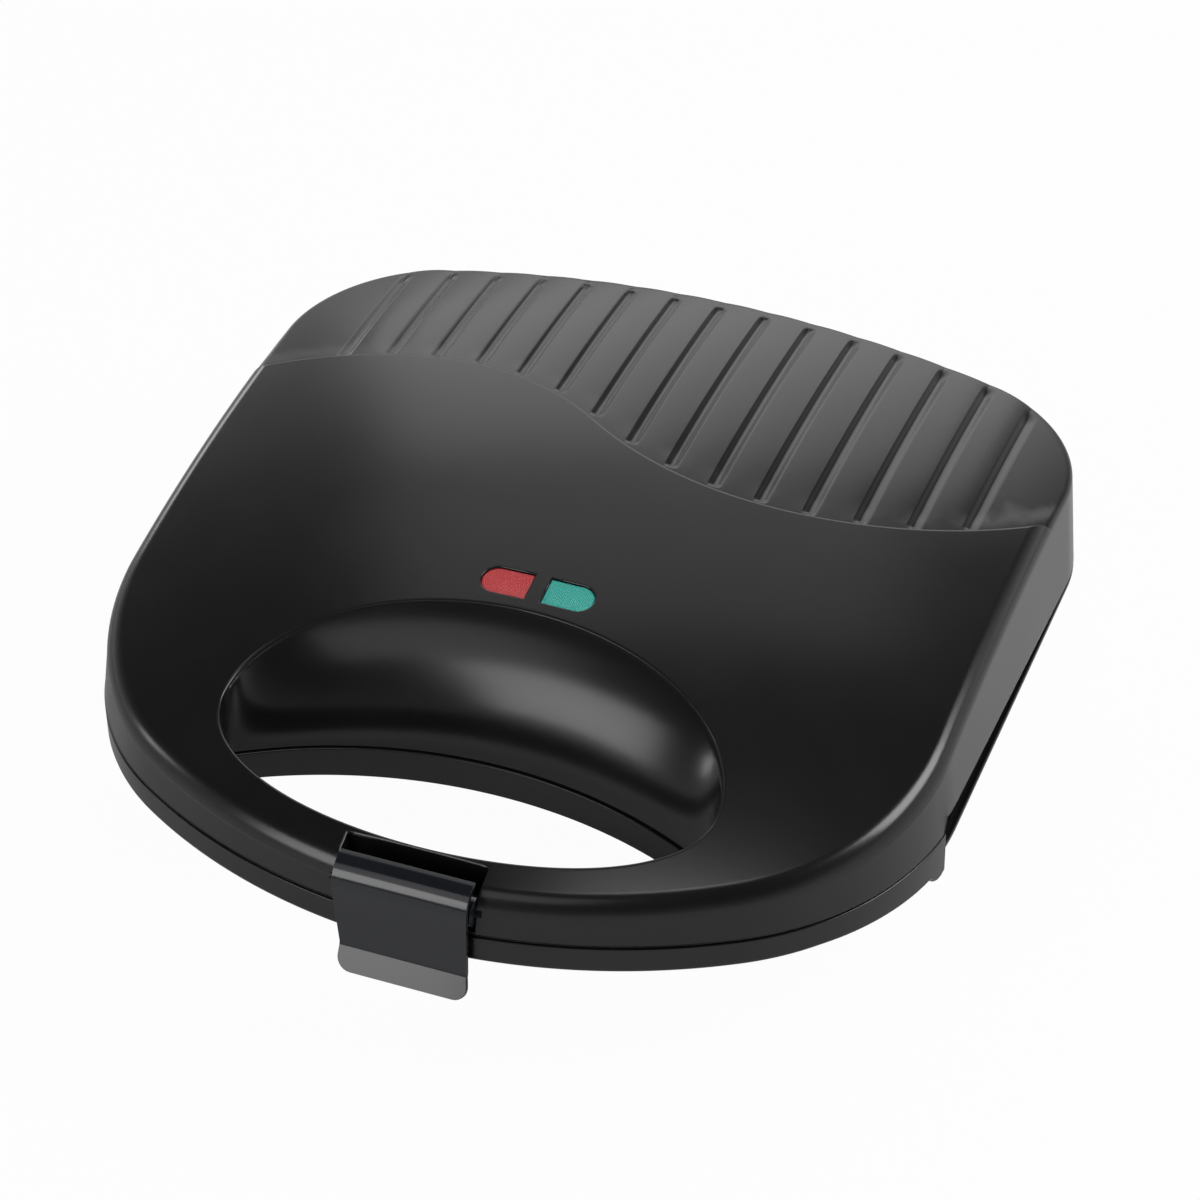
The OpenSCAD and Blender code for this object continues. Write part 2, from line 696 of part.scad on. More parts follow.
// Front view of the latch, with rounded lower corners
module latch_face() {
    h = latch_pin_z + latch_r + 1 - latch_foot_z + latch_lip * cos(latch_lip_angle);
    translate([0, far / 2, latch_pin_z + latch_r + 1 - h / 2]) rotate([90, 0, 0]) linear_extrude(2 * far)
        translate([0, latch_corner_r / 2]) rounded_rect(latch_w, h + latch_corner_r, latch_corner_r);
}
module latch() color(black) in_place() difference() {
    intersection() {
        rotate([90, 0, 90]) linear_extrude(latch_w, center = true) latch_profile();
        latch_face();
    }
    latch_axis(latch_pin_r + pin_clearance, latch_w + 2);
}
module latch_pin() color(metal) in_place() latch_axis(latch_pin_r, latch_w + 2 * wall - 0.2);

// Rings of the base's bowl: drafted walls, a rounded foot, and a front that slants away
// under the finger hole
function bowl_ring(inset, z) = let (
    side = flange_in + inset,
    r = rear_corner_r - side,
    x = half_w - side - front_bend,
    y = -lip_y + lip_under + max(0, -z - grip_h) * bowl_slant + inset / 2 + front_bend)
    [for (p = concat(
        [[x, y - front_bend]],
        arc(x, y, front_bend, -90, 0, 4),
        [[half_w - side, rear_corner_y]],
        arc(rear_corner_x, rear_corner_y, r, 0, 90, 6),
        [[-rear_corner_x, rear_corner_y + r]],
        arc(-rear_corner_x, rear_corner_y, r, 90, 180, 6),
        [[-half_w + side, y]],
        arc(-x, y, front_bend, 180, 270, 4))) [p[0], p[1], z]];
module bowl(off, top) loft(concat(
    [for (a = [90:-22.5:0]) bowl_ring(bowl_draft + bowl_bend * (1 - cos(a)) + off,
        -base_h + off + bowl_bend * (1 - sin(a)))],
    [bowl_ring(off, -grip_h), bowl_ring(off, top)]));

// Handle block at the front, swelling at its ends, and behind it only the flange of the rim
module base_rim() difference() {
    prism(0, -grip_h - 6, -half_gap);
    rotate([90, 0, 90]) linear_extrude(2 * far, center = true) polygon([
        [-far, -far], [-far, -grip_h], [-half_d / 2 - 18, -grip_h],
        [-grip_end_y - 18, -grip_h - 1.5], [-grip_end_y - 7.5, -grip_h - 2.2],
        [-grip_end_y - 5, -grip_h - 4.8], [-grip_end_y - 2, -grip_h - 5.6],
        [-grip_end_y, -grip_h - 5], [-grip_end_y, -side_gap_base - flange_h],
        [rear_corner_y, -half_gap - flange_h], [far, -half_gap - flange_h], [far, -far]]);
}
module base_cavity() {
    bowl(wall, 1);
    difference() {
        prism(-wall, -grip_h + wall, 1);
        finger_hole(wall);
        translate([-far, -grip_end_y - wall, -far]) cube(2 * far);
    }
}
module lower_housing() color(black) in_place() difference() {
    union() {
        difference() {
            union() {
                base_rim();
                bowl(0, -half_gap);
            }
            difference() {
                base_cavity();
                bosses();
            }
        }
        for (s = [-1, 1]) for (e = [-1, 1])
            translate([s * hinge_span / 2 + e * ear_offset, 0, 0]) knuckle(ear_w, false);
        inlet_collar();
    }
    finger_hole(0);
    finger_relief();
    flip_up() side_wedge(side_gap_base);
    hinge_bore(hinge_pin_r + 0.02);
    flip_up() boss_holes(face_z + frame_t);
    flip_up() translate([0, 0, -1]) linear_extrude(1 + face_z + frame_t) frame_plan(fit);
    for (p = foot_points) translate([p[0], p[1], -base_h - 1]) cylinder(r = stem_r + 0.1, h = wall + 2);
    translate([0, inlet_y + 1, inlet_z]) rotate([90, 0, 0]) cylinder(r = inlet_r, h = inlet_l + 2);
}
module inlet_collar() translate([0, inlet_y, inlet_z]) rotate([90, 0, 0])
    cylinder(r = inlet_r + wall, h = inlet_l);

module lower_inner_frame() color(black) in_place() flip_up() inner_frame();
module lower_baking_plate() color(coating) in_place() flip_up() baking_plate();
module lower_heating_element() color(metal) in_place() flip_up() heating_element();
module lower_reflector() color(metal) in_place() flip_up() reflector();
module lower_frame_screws() color(metal) in_place() flip_up() frame_screws();
module lower_plate_screws() color(metal) in_place() flip_up() plate_screws();

module terminal_block() color("#e9e6dd") in_place()
    translate([0, plate_y + 36, -base_h + wall]) difference() {
        translate([-block_w / 2, -7, 0]) cube([block_w, 14, 10]);
        for (i = [-1:1]) translate([i * block_w / 3, 0, 0]) {
            translate([0, 0, 4]) cylinder(r = 2, h = 7);
            translate([0, 0, 4]) rotate([90, 0, 0]) cylinder(r = 1.7, h = 20, center = true);
        }
    }

// Hinge pin through both ears and the knuckle, its head outwards
module hinge_pin() translate([pin_l / 2, hinge_y, 0]) rotate([0, -90, 0]) {
    cylinder(r = hinge_pin_r, h = pin_l);
    translate([0, 0, -1.5]) cylinder(r = hinge_pin_r + 1.2, h = 1.5);
}
module hinge_pin_right() color(metal) in_place() translate([hinge_span / 2, 0, 0]) hinge_pin();
module hinge_pin_left() color(metal) in_place() mirror([1, 0, 0])
    translate([hinge_span / 2, 0, 0]) hinge_pin();

module foot(i) color("#121213") in_place() translate([foot_points[i][0], foot_points[i][1], -base_h]) {
    translate([0, 0, -foot_h]) difference() {
        union() {
            cylinder(r1 = foot_r - 0.8, r2 = foot_r, h = foot_h - 1);
            translate([0, 0, foot_h - 1]) cylinder(r = foot_r, h = 1);
        }
        translate([0, 0, -1]) cylinder(r = foot_r / 2, h = 2);
    }
    cylinder(r = stem_r, h = wall);
    translate([0, 0, wall]) cylinder(r1 = stem_r + 0.8, r2 = stem_r - 0.6, h = 2.5);
}
module foot_front_left() foot(0);
module foot_front_right() foot(1);
module foot_rear_left() foot(2);
module foot_rear_right() foot(3);

upper_housing();
upper_inner_frame();
upper_baking_plate();
upper_heating_element();
upper_reflector();
upper_frame_screws();
upper_plate_screws();
red_lens();
green_lens();
lamp_holder();
red_neon_lamp();
green_neon_lamp();
thermostat();
thermal_fuse();
latch();
latch_pin();
lower_housing();
lower_inner_frame();
lower_baking_plate();
lower_heating_element();
lower_reflector();
lower_frame_screws();
lower_plate_screws();
terminal_block();
hinge_pin_left();
hinge_pin_right();
foot_front_left();
foot_front_right();
foot_rear_left();
foot_rear_right();
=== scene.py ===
"""Two-plate donut maker: smooth shells, latch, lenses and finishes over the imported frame."""
import math

import bmesh
import bpy
import numpy as np
from bpy.props import FloatProperty, FloatVectorProperty, IntProperty, PointerProperty
from mathutils import Matrix, Vector
from mathutils.geometry import delaunay_2d_cdt

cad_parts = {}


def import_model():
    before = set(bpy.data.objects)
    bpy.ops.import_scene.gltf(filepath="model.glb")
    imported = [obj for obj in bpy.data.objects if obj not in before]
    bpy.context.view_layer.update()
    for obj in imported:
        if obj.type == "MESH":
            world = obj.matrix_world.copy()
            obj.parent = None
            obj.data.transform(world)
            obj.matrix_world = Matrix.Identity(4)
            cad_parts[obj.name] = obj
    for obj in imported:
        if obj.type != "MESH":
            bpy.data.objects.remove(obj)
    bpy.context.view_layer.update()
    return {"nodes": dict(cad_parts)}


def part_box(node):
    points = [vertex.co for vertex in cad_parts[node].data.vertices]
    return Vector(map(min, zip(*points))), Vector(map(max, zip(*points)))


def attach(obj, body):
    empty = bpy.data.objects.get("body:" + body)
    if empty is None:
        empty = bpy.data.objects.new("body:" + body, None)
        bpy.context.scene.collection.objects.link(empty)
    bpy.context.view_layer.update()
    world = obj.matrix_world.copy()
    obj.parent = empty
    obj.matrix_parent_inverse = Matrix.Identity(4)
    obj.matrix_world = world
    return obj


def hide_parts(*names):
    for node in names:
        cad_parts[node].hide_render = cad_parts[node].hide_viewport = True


bl_info = {
    "name": "Donut maker",
    "version": (1, 0, 0),
    "blender": (4, 5, 0),
    "location": "3D View > Sidebar > Donut maker",
    "description": "Models the shells of a two-plate donut maker and finishes every part of it",
    "category": "Object",
}

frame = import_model()
nodes = frame["nodes"]
MM = 0.001


def middle(node):
    low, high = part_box(node)
    return (low + high) / 2 / MM


# The shapes are worked out in millimetres around the middle of the parting plane.
hinge_mid = middle("hinge_pin_right")
rim_low, rim_high = [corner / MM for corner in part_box("lower_inner_frame")]
RIM_SET = 2.7  # the inner frame lies this far inside the rim
HALF_W = (rim_high.x - rim_low.x) / 2 + RIM_SET
HALF_D = (rim_high.y - rim_low.y) / 2 + RIM_SET
SHIFT = Vector((0.0, (rim_high.y + rim_low.y) / 2, hinge_mid.z))
HINGE_Y = hinge_mid.y - SHIFT.y
PIN = middle("latch_pin") - SHIFT
SEAM = 0.2  # each shell's rim stops this far from the parting plane
WALL = 2.4  # thickness of the shells at their rims
WELL_SET = 2.5  # the base's well stands this far inside the rim
ROUND = 200  # a loop wider than this runs round the whole housing
HINGE_X, KNUCKLE_R, WEB = 70, 4.8, 9  # place and radius of the hinges, and the reach of their webs
RIM_STEPS = ((0, 0.45, 0), (0.12, 0.14, 0.6), (0.45, 0, 1))  # inset, height and tilt of a rounded rim
LIP_SPAN = (math.radians(57), math.radians(123))  # turn of the finger lip about its centre
BLOCK_END = (18, 7.5, 6.2, 5, 3.6, 2, 0.02)  # distances in front of the handle block's end


def mm_property(name, text, default):
    return FloatProperty(name=name, description=f"{text}, mm", default=default)


def colour_property(name, text, default):
    return FloatVectorProperty(name=name, description=text, subtype="COLOR", size=3, min=0, max=1,
                               default=default)


def angle_property(name, text, degrees):
    return FloatProperty(name=name, description=text, subtype="ANGLE", default=math.radians(degrees))


class HousingSizes(bpy.types.PropertyGroup):
    half_depth: mm_property("Half depth", "Half the depth of the housings", HALF_D)
    rear_r: mm_property("Rear radius", "Plan radius of the rear edge", 700.0)
    rear_corner_r: mm_property("Rear corner", "Plan radius of the rear corners", 39.0)
    front_r: mm_property("Front radius", "Plan radius of the front edge", 156.0)
    front_corner_r: mm_property("Front corner", "Plan radius of the front corners", 73.0)
    crown_across: mm_property("Crown across", "Crown radius from side to side", 560.0)
    crown_along: mm_property("Crown along", "Crown radius from front to back", 470.0)
    crown_y: mm_property("Crown top", "Distance of the highest point behind the middle", 62.0)
    lid_h: mm_property("Lid height", "Height of the lid above the parting plane", 44.0)
    base_h: mm_property("Base depth", "Depth of the base below the parting plane", 38.0)
    edge_r: mm_property("Edge radius", "Radius of the lid's top edge", 4.5)
    draft: mm_property("Draft", "How far the lid's wall leans inwards", 1.8)
    step_h: mm_property("Step", "Drop from the front panel to the ribbed panel", 2.5)
    groove_count: IntProperty(name="Grooves", description="Number of grooves on the rear panel", default=15)
    groove_pitch: mm_property("Groove pitch", "Distance between grooves", 13.3)
    groove_depth: mm_property("Groove depth", "Depth of a groove", 0.62)
    grip_h: mm_property("Grip", "Thickness of the base's half of the handle", 8.2)
    grip_end: mm_property("Grip end", "Distance from the middle to the end of the handle block", 36.5)
    gap_lid: mm_property("Lid gap", "Side gap in the lid at the handle block", 4.4)
    gap_base: mm_property("Base gap", "Side gap in the base at the handle block", 3.9)


class Finishes(bpy.types.PropertyGroup):
    shell: colour_property("Shell", "Colour of the housings", (0.006, 0.006, 0.0068))
    shell_rough: FloatProperty(name="Shell roughness", description="Roughness of the satin shells",
                               default=0.22, min=0, max=1)
    latch: colour_property("Latch", "Colour of the latch", (0.008, 0.009, 0.012))
    coating: colour_property("Coating", "Colour of the non-stick coating", (0.035, 0.035, 0.038))
    red: colour_property("Red lens", "Colour of the power lens", (0.62, 0.022, 0.03))
    green: colour_property("Green lens", "Colour of the ready lens", (0.02, 0.48, 0.4))


class StageSizes(bpy.types.PropertyGroup):
    azimuth: angle_property("Azimuth", "Turn of the camera to the right of the front", 22.249)
    elevation: angle_property("Elevation", "Height of the camera as an angle", 38.916)
    roll: angle_property("Roll", "Roll of the camera", -1.273)
    place: FloatVectorProperty(name="Camera", description="Place of the camera", subtype="XYZ", size=3,
                               default=(0.321845, -0.768028, 0.728782))
    lens: mm_property("Lens", "Focal length", 121.444)
    floor: colour_property("Floor", "Colour of the floor", (0.72, 0.72, 0.72))


# ---------------------------------------------------------------- shapes in plan

def radial(x, y, cx, cy):
    dx, dy = x - cx, y - cy
    far = np.maximum(np.hypot(dx, dy), 1e-9)
    return far, dx / far, dy / far


class Plan:
    """Rim outline of the housings: tangent arcs, with the distance inside it at any point."""

    def __init__(self, size):
        self.size = size
        self.front_cy = size.front_r - size.half_depth
        self.front_x = HALF_W - size.front_corner_r
        reach = size.front_r - size.front_corner_r
        self.front_y = self.front_cy - math.sqrt(reach ** 2 - self.front_x ** 2)
        self.rear_cy = size.half_depth - size.rear_r
        self.rear_x = HALF_W - size.rear_corner_r
        self.rear_y = self.rear_cy + math.sqrt((size.rear_r - size.rear_corner_r) ** 2 - self.rear_x ** 2)
        self.front_turn = math.atan2(self.front_y - self.front_cy, self.front_x)
        self.rear_turn = math.atan2(self.rear_y - self.rear_cy, self.rear_x)

    def inside(self, x, y):
        """Distance to the rim, positive inside, and the outward direction there."""
        ax = np.abs(x)
        size = self.size
        arcs = [radial(ax, y, 0, self.front_cy), radial(ax, y, self.front_x, self.front_y),
                (ax, np.ones_like(ax), np.zeros_like(ax)), radial(ax, y, self.rear_x, self.rear_y),
                radial(ax, y, 0, self.rear_cy)]
        radii = [size.front_r, size.front_corner_r, HALF_W, size.rear_corner_r, size.rear_r]
        in_front = np.arctan2(y - self.front_cy, ax) < self.front_turn
        in_corner = np.arctan2(y - self.rear_cy, ax) < self.rear_turn
        zone = np.select([in_front, y < self.front_y, y < self.rear_y, in_corner], [0, 1, 2, 3], 4)
        gap = np.choose(zone, [r - a[0] for r, a in zip(radii, arcs)])
        nx = np.choose(zone, [a[1] for a in arcs]) * np.sign(x)
        ny = np.choose(zone, [a[2] for a in arcs])
        return gap, nx, ny

    def outline(self, inset, step=2.2):
        """Points of the rim moved inwards, anticlockwise from the front."""
        size, half = self.size, []

        def arc(cx, cy, r, start, end):
            count = max(3, int(abs(end - start) * r / step))
            half.extend((cx + (r - inset) * math.cos(a), cy + (r - inset) * math.sin(a))
                        for a in np.linspace(start, end, count, endpoint=False))
        arc(0, self.front_cy, size.front_r, -math.pi / 2, self.front_turn)
        arc(self.front_x, self.front_y, size.front_corner_r, self.front_turn, 0)
        side = set(np.round(np.linspace(self.front_y, self.rear_y, 46, endpoint=False), 3))
        side |= {-size.grip_end - 0.02, -size.grip_end + 0.02}
        half.extend((HALF_W - inset, y) for y in sorted(side))
        arc(self.rear_x, self.rear_y, size.rear_corner_r, 0, self.rear_turn)
        arc(0, self.rear_cy, size.rear_r, self.rear_turn, math.pi / 2)
        half.append((0.0, size.half_depth - inset))
        return half + [(-x, y) for x, y in reversed(half) if abs(x) > 1e-6]


def unit(vectors, least=1e-9):
    return vectors / np.maximum(np.linalg.norm(vectors, axis=-1, keepdims=True), least)


def level(vectors):
    """Directions turned into the plane of the rim."""
    return unit(vectors * (1, 1, 0))


def columns(x, y, z):
    return np.column_stack([x, y, np.broadcast_to(z, len(x))])


def loop_outward(p):
    """Outward directions along a closed loop of points."""
    run = np.roll(p, -1, 0) - np.roll(p, 1, 0)
    return unit(columns(run[:, 1], -run[:, 0], 0.0))


def roll(d, r):
    """Drop of a rounded edge of radius r at distance d inside it."""
    t = np.clip(1 - d / r, 0, 1)
    return r * (1 - np.sqrt(np.maximum(1 - t * t, 0)))


def ease(a, b, t):
    t = np.clip((t - a) / (b - a), 0, 1)
    return t * t * (3 - 2 * t)


def both(a, b, p=5):
    """Two drops where they meet: the larger one, softly."""
    return (np.abs(a) ** p + np.abs(b) ** p) ** (1 / p)


def soft_min(a, b, k):
    h = np.clip(0.5 + 0.5 * (b - a) / k, 0, 1)
    return b * (1 - h) + a * h - k * h * (1 - h)


class Crown:
    """Everything that shapes the top of the lid, as heights over the plan."""
    hill, hill_r = (-60.0, 58.0), 130.0  # rearmost point of the wave, and its radius to the left of it
    dip, dip_r = (42.0, 26.0), 104.0  # foremost point of the wave, and its radius to the right of it
    oval = (0.0, -71.4, 67.0, 41.0, 30.0)  # finger recess: centre, half width, reach behind and in front
    lip = (-176.0, 124.0)  # centre and radius of the finger lip's arc
    slope, run = 0.45, 24.6  # steady rise behind the finger lip, and the length of its rounded rise
    lens = (-22.4, 2.3, 13.2, 8.4)  # lens windows: middle line, half gap between them, length, depth
    pocket = (18.9, PIN.y + 8.0)  # latch pocket: half width and rear edge
    groove_x = 1.6  # shift of the middle groove to the right
    groove_end, groove_start = 1.2, 3.9  # gaps from the grooves to the rear edge and to the wave
    groove_deep, groove_far = 0.5, 3.0  # where a groove's short flank ends and its long one runs out
    belly = 0.3  # height of the ribs' crowns
    bowl_edge = 0.35  # blend between the recess and the panel

    def __init__(self, size, plan):
        self.size, self.plan = size, plan
        turn = np.linspace(0, math.pi, 361)
        rx, ry = self.oval[2] * np.cos(turn), self.oval[1] + self.oval[3] * np.sin(turn)
        far = np.arctan2(rx, ry - self.lip[0])
        order = np.argsort(far)
        self.rim_turn = far[order]
        self.rim_run = (np.hypot(rx, ry - self.lip[0]) - self.lip[1])[order]
        self.rim_z = self.plain(rx, ry)[order]

    def plain(self, x, y):
        size = self.size
        across = size.crown_along - size.crown_across + np.sqrt(size.crown_across ** 2 - x * x)
        return size.lid_h - size.crown_along + np.sqrt(across ** 2 - (y - size.crown_y) ** 2)

    def wave(self, x):
        """Line of the step between the panels, and its slope."""
        (hx, hy), (dx, dy) = self.hill, self.dip
        mid = (hx + dx) / 2
        r = ((dx - hx) ** 2 + (hy - dy) ** 2) / (4 * (hy - dy))

        def bow(r, d):
            return r - np.sqrt(np.maximum(r * r - d * d, 1))

        def line(x):
            return np.select([x < hx, x < mid, x < dx],
                             [hy - bow(self.hill_r, x - hx), hy - bow(r, x - hx), dy + bow(r, x - dx)],
                             dy + bow(self.dip_r, x - dx))
        return line(x), (line(x + 0.01) - line(x - 0.01)) / 0.02

    def behind_wave(self, x, y):
        line, tilt = self.wave(x)
        return (y - line) / np.sqrt(1 + tilt * tilt)

    def step(self, d):
        """Drop at distance d behind the wave: rounded edge r, wall w, cove c."""
        h, r, c, w = self.size.step_h, 1.3, 0.5, 0.15
        cove = h - (c - np.sqrt(np.maximum(c * c - np.clip(w + c - d, 0, c) ** 2, 0)))
        wall = r + (h - c - r) * np.clip(d / w, 0, 1)
        return np.where(d < 0, roll(-d, r), np.where(d < w, wall, cove))

    def groove(self, x, y):
        """Distance to the middle line of the nearest groove, and the share of its full depth."""
        size = self.size
        last = (size.groove_count - 1) / 2
        nearest = np.clip(np.round((x - self.groove_x) / size.groove_pitch), -last, last)
        gx = self.groove_x + nearest * size.groove_pitch
        start, end = self.groove_ends(gx)
        side, past = x - gx, np.maximum(start - y, 0) + np.maximum(y - end, 0)
        deep, far = self.groove_deep, self.groove_far
        cut = np.where(side < deep, ease(-1.5, deep, side), 1 - ease(deep, far, side))
        return np.hypot(side, past), cut * (1 - ease(0, 1.8, past))

    def groove_ends(self, gx):
        """Where the middle line of the groove at gx starts and ends."""
        plan, size, off = self.plan, self.size, self.groove_end + 1.1
        rear = plan.rear_cy + np.sqrt((size.rear_r - off) ** 2 - gx ** 2)
        aside = np.clip(np.abs(gx) - plan.rear_x, 0, size.rear_corner_r - off - 0.5)
        corner = plan.rear_y + np.sqrt((size.rear_corner_r - off) ** 2 - aside ** 2)
        return self.wave(gx)[0] + self.groove_start, np.minimum(rear, corner)

    def rim(self, x, y):
        """Distance outside the oval of the finger recess."""
        cx, cy, a, back, front = self.oval
        b = np.where(y > cy, back, front)
        u, v = x - cx, y - cy
        e = np.sqrt((u / a) ** 2 + (v / b) ** 2)
        return (e - 1) * e / np.maximum(np.sqrt((u / a ** 2) ** 2 + (v / b ** 2) ** 2), 1e-6)

    def hollow(self, x, y):
        """Height of the slope behind the finger lip, and the distance behind the lip."""
        cy, r = self.lip
        dr = np.hypot(x, y - cy) - r
        turn = np.arctan2(x, y - cy)
        run = np.interp(turn, self.rim_turn, self.rim_run)
        top = np.interp(turn, self.rim_turn, self.rim_z)

        def quarter(t):
            return np.sqrt(np.maximum(1 - (1 - np.clip(t, 0, 1)) ** 2, 0))
        whole = np.maximum(quarter(run / self.run), 0.02)
        z = self.slope * dr + (top - self.slope * run) * quarter(dr / self.run) / whole
        return np.maximum(z, SEAM), dr

    def window(self, x, y):
        """Distance outside the nearer lens window."""
        ly, gap, length, depth = self.lens
        ax, v, r = np.abs(x), np.abs(y - ly), depth / 2 + 0.1
        end = gap + length - depth / 2
        flat = np.maximum(gap - 0.1 - ax, v - r)
        return np.where(ax > end, np.hypot(ax - end, v) - r, flat)

    def pocket_gap(self, x, y):
        w, back = self.pocket
        return np.hypot(np.maximum(np.abs(x) - w, 0), np.maximum(y - back, 0))

    def height(self, x, y):
        size = self.size
        ground = self.plain(x, y)
        inside = self.plan.inside(x, y)[0] - size.draft
        d = self.behind_wave(x, y)
        rear = ease(2.5, 9, d)
        off = (x - self.groove_x) / size.groove_pitch
        belly = self.belly * rear * np.where(np.abs(off) < (size.groove_count - 1) / 2,
                                             (2 * np.abs(np.mod(off, 1) - 0.5)) ** 2, 1.0)
        cut = size.groove_depth * self.groove(x, y)[1] * ease(0.5, 1.5, d) * ease(1.8, 6.5, inside)
        drop = both(self.step(d) + belly + cut, roll(inside, size.edge_r))
        rim = self.rim(x, y)
        turn = np.clip((y - self.oval[1]) / self.oval[3], -1, 1)
        edge_r = 0.25 + 0.65 * (1 - ease(0.1, 0.75, turn))
        drop = both(drop, roll(rim, edge_r) * (np.abs(x) < 80))
        drop = both(drop, roll(self.pocket_gap(x, y), 0.6))
        drop = drop + roll(self.window(x, y), 0.35)
        z = ground - drop
        bowl, dr = self.hollow(x, y)
        near = (dr > -0.05) & (y > self.oval[1] - 0.05) & ((rim < 0) | (rim < 4) & (bowl > z - 0.3))
        return np.where(near, np.where(rim < -4, bowl, soft_min(z, bowl, self.bowl_edge)), z)


# ---------------------------------------------------------------- sheets and skins

class Sheet:
    """Contour lines and loose points, joined into triangles in plan."""

    def __init__(self):
        self.points, self.edges = [], []

    def line(self, points, closed=False):
        first = len(self.points)
        self.points.extend((float(p[0]), float(p[1])) for p in points)
        count = len(points)
        self.edges.extend((first + i, first + i + 1) for i in range(count - 1))
        if closed:
            self.edges.append((first + count - 1, first))

    def scatter(self, low, high, pitch, keep):
        ys = np.arange(low[1], high[1], pitch * 0.866)
        grid = np.array([(x + (i % 2) * pitch / 2, y) for i, y in enumerate(ys)
                         for x in np.arange(low[0], high[0], pitch)])
        self.points.extend(map(tuple, grid[keep(grid[:, 0], grid[:, 1])]))

    def triangles(self, keep):
        out = delaunay_2d_cdt([Vector(p) for p in self.points], self.edges, [], 0, 1e-5, False)
        xy = np.array([tuple(v) for v in out[0]])
        tri = np.array(out[2])
        a, b, c = xy[tri[:, 0]], xy[tri[:, 1]], xy[tri[:, 2]]
        area = (b[:, 0] - a[:, 0]) * (c[:, 1] - a[:, 1]) - (b[:, 1] - a[:, 1]) * (c[:, 0] - a[:, 0])
        tri[area < 0] = tri[area < 0][:, ::-1]
        mid = (a + b + c) / 3
        tri = tri[keep(mid[:, 0], mid[:, 1]) & (np.abs(area) > 1e-7)]
        return xy, tri


def boundary_loops(tri):
    """Loops of directed edges that only one triangle has."""
    edges = set()
    for a, b, c in tri:
        edges |= {(a, b), (b, c), (c, a)}
    after = {}
    for a, b in edges:
        if (b, a) not in edges:
            after.setdefault(a, []).append(b)
    loops = []
    while after:
        start = next(iter(after))
        loop, here = [], start
        while here in after:
            loop.append(here)
            following = after[here]
            there = following.pop()
            if not following:
                del after[here]
            here = there
        loops.append(np.array(loop))
    return sorted(loops, key=len, reverse=True)


def slope_normals(height, x, y, h=0.01):
    gx = (height(x + h, y) - height(x - h, y)) / (2 * h)
    gy = (height(x, y + h) - height(x, y - h)) / (2 * h)
    return unit(np.stack([-gx, -gy, np.ones_like(gx)], 1))


class Skin:
    """Faces with a normal at each corner, welded into one mesh."""

    def __init__(self, flip=False):
        """A flipped skin is built with its heights turned downwards."""
        self.co, self.no, self.flip = [], [], flip

    def faces(self, co, no=None):
        co = np.asarray(co, float)
        if no is None:
            no = np.cross(co[:, 1] - co[:, 0], co[:, 2] - co[:, 0])
            no = np.repeat(unit(no, 1e-12)[:, None], co.shape[1], 1)
        self.co.extend(co)
        self.no.extend(np.asarray(no, float))

    def rows(self, rows, normals=None):
        """Quads between closed rows of points; the first row is the top of an outward wall.

        Each row has two normals: one for the wall above it and one for the wall below it."""
        for k in range(len(rows) - 1):
            a, b = np.asarray(rows[k]), np.asarray(rows[k + 1])
            co = self.quads(a, b)
            if normals is None:
                self.faces(co)
            else:
                self.faces(co, self.quads(np.asarray(normals[k][1]), np.asarray(normals[k + 1][0])))

    def quads(self, a, b):
        return np.stack([a, b, np.roll(b, -1, 0), np.roll(a, -1, 0)], 1)

    def build(self, name, material):
        flat = np.concatenate(self.co)
        key, index = np.unique(np.round(flat, 3), axis=0, return_inverse=True)
        index = index.reshape(-1)
        if self.flip:
            key = key * (1, 1, -1)
        faces, normals, at = [], [], 0
        for corners, normal in zip(self.co, self.no):
            ids = index[at:at + len(corners)]
            at += len(corners)
            keep = [i for i in range(len(ids)) if ids[i] != ids[i - 1]]
            if len(set(ids[keep])) < 3:
                continue
            if self.flip:
                keep = keep[::-1]
                normal = normal * (1, 1, -1)
            faces.append([int(i) for i in ids[keep]])
            normals.extend(normal[keep])
        mesh = bpy.data.meshes.new(name)
        place = (key + np.array(SHIFT)) * MM
        mesh.from_pydata([tuple(p) for p in place], [], faces)
        mesh.validate(clean_customdata=False)
        mesh.polygons.foreach_set("use_smooth", [True] * len(mesh.polygons))
        if len(mesh.loops) == len(normals):
            mesh.normals_split_custom_set([tuple(n) for n in normals])
        mesh.materials.append(material)
        piece = bpy.data.objects.new(name, mesh)
        bpy.context.scene.collection.objects.link(piece)
        return piece


def lift(points, z):
    return columns(points[:, 0], points[:, 1], z)


def side_gap(size, plan, y, height):
    """Height of the side gap at y: nothing at the handle, widest just behind it."""
    t = np.clip((y + size.grip_end) / (plan.rear_y + size.grip_end), 0, 1)
    return np.where(y < -size.grip_end, SEAM, height + (SEAM - height) * t)


def arc_points(cx, cy, r, start, end, step=2.0):
    count = max(4, int(abs(end - start) * r / step))
    return [(cx + r * math.cos(a), cy + r * math.sin(a)) for a in np.linspace(start, end, count)]


def oval_points(crown, grow, start, end, count):
    cx, cy, a, back, front = crown.oval
    return [(cx + (a + grow) * math.cos(t), cy + ((back if math.sin(t) > 0 else front) + grow) * math.sin(t))
            for t in np.linspace(start, end, count)]


def lip_lines(sheet, crown, r, distances):
    """Arcs behind the finger lip of radius r, as far as the recess reaches."""
    for distance in distances:
        sheet.line([p for p in arc_points(0, crown.lip[0], r + distance, *LIP_SPAN)
                    if crown.rim(np.array(p[0]), np.array(p[1])) < 0.6])


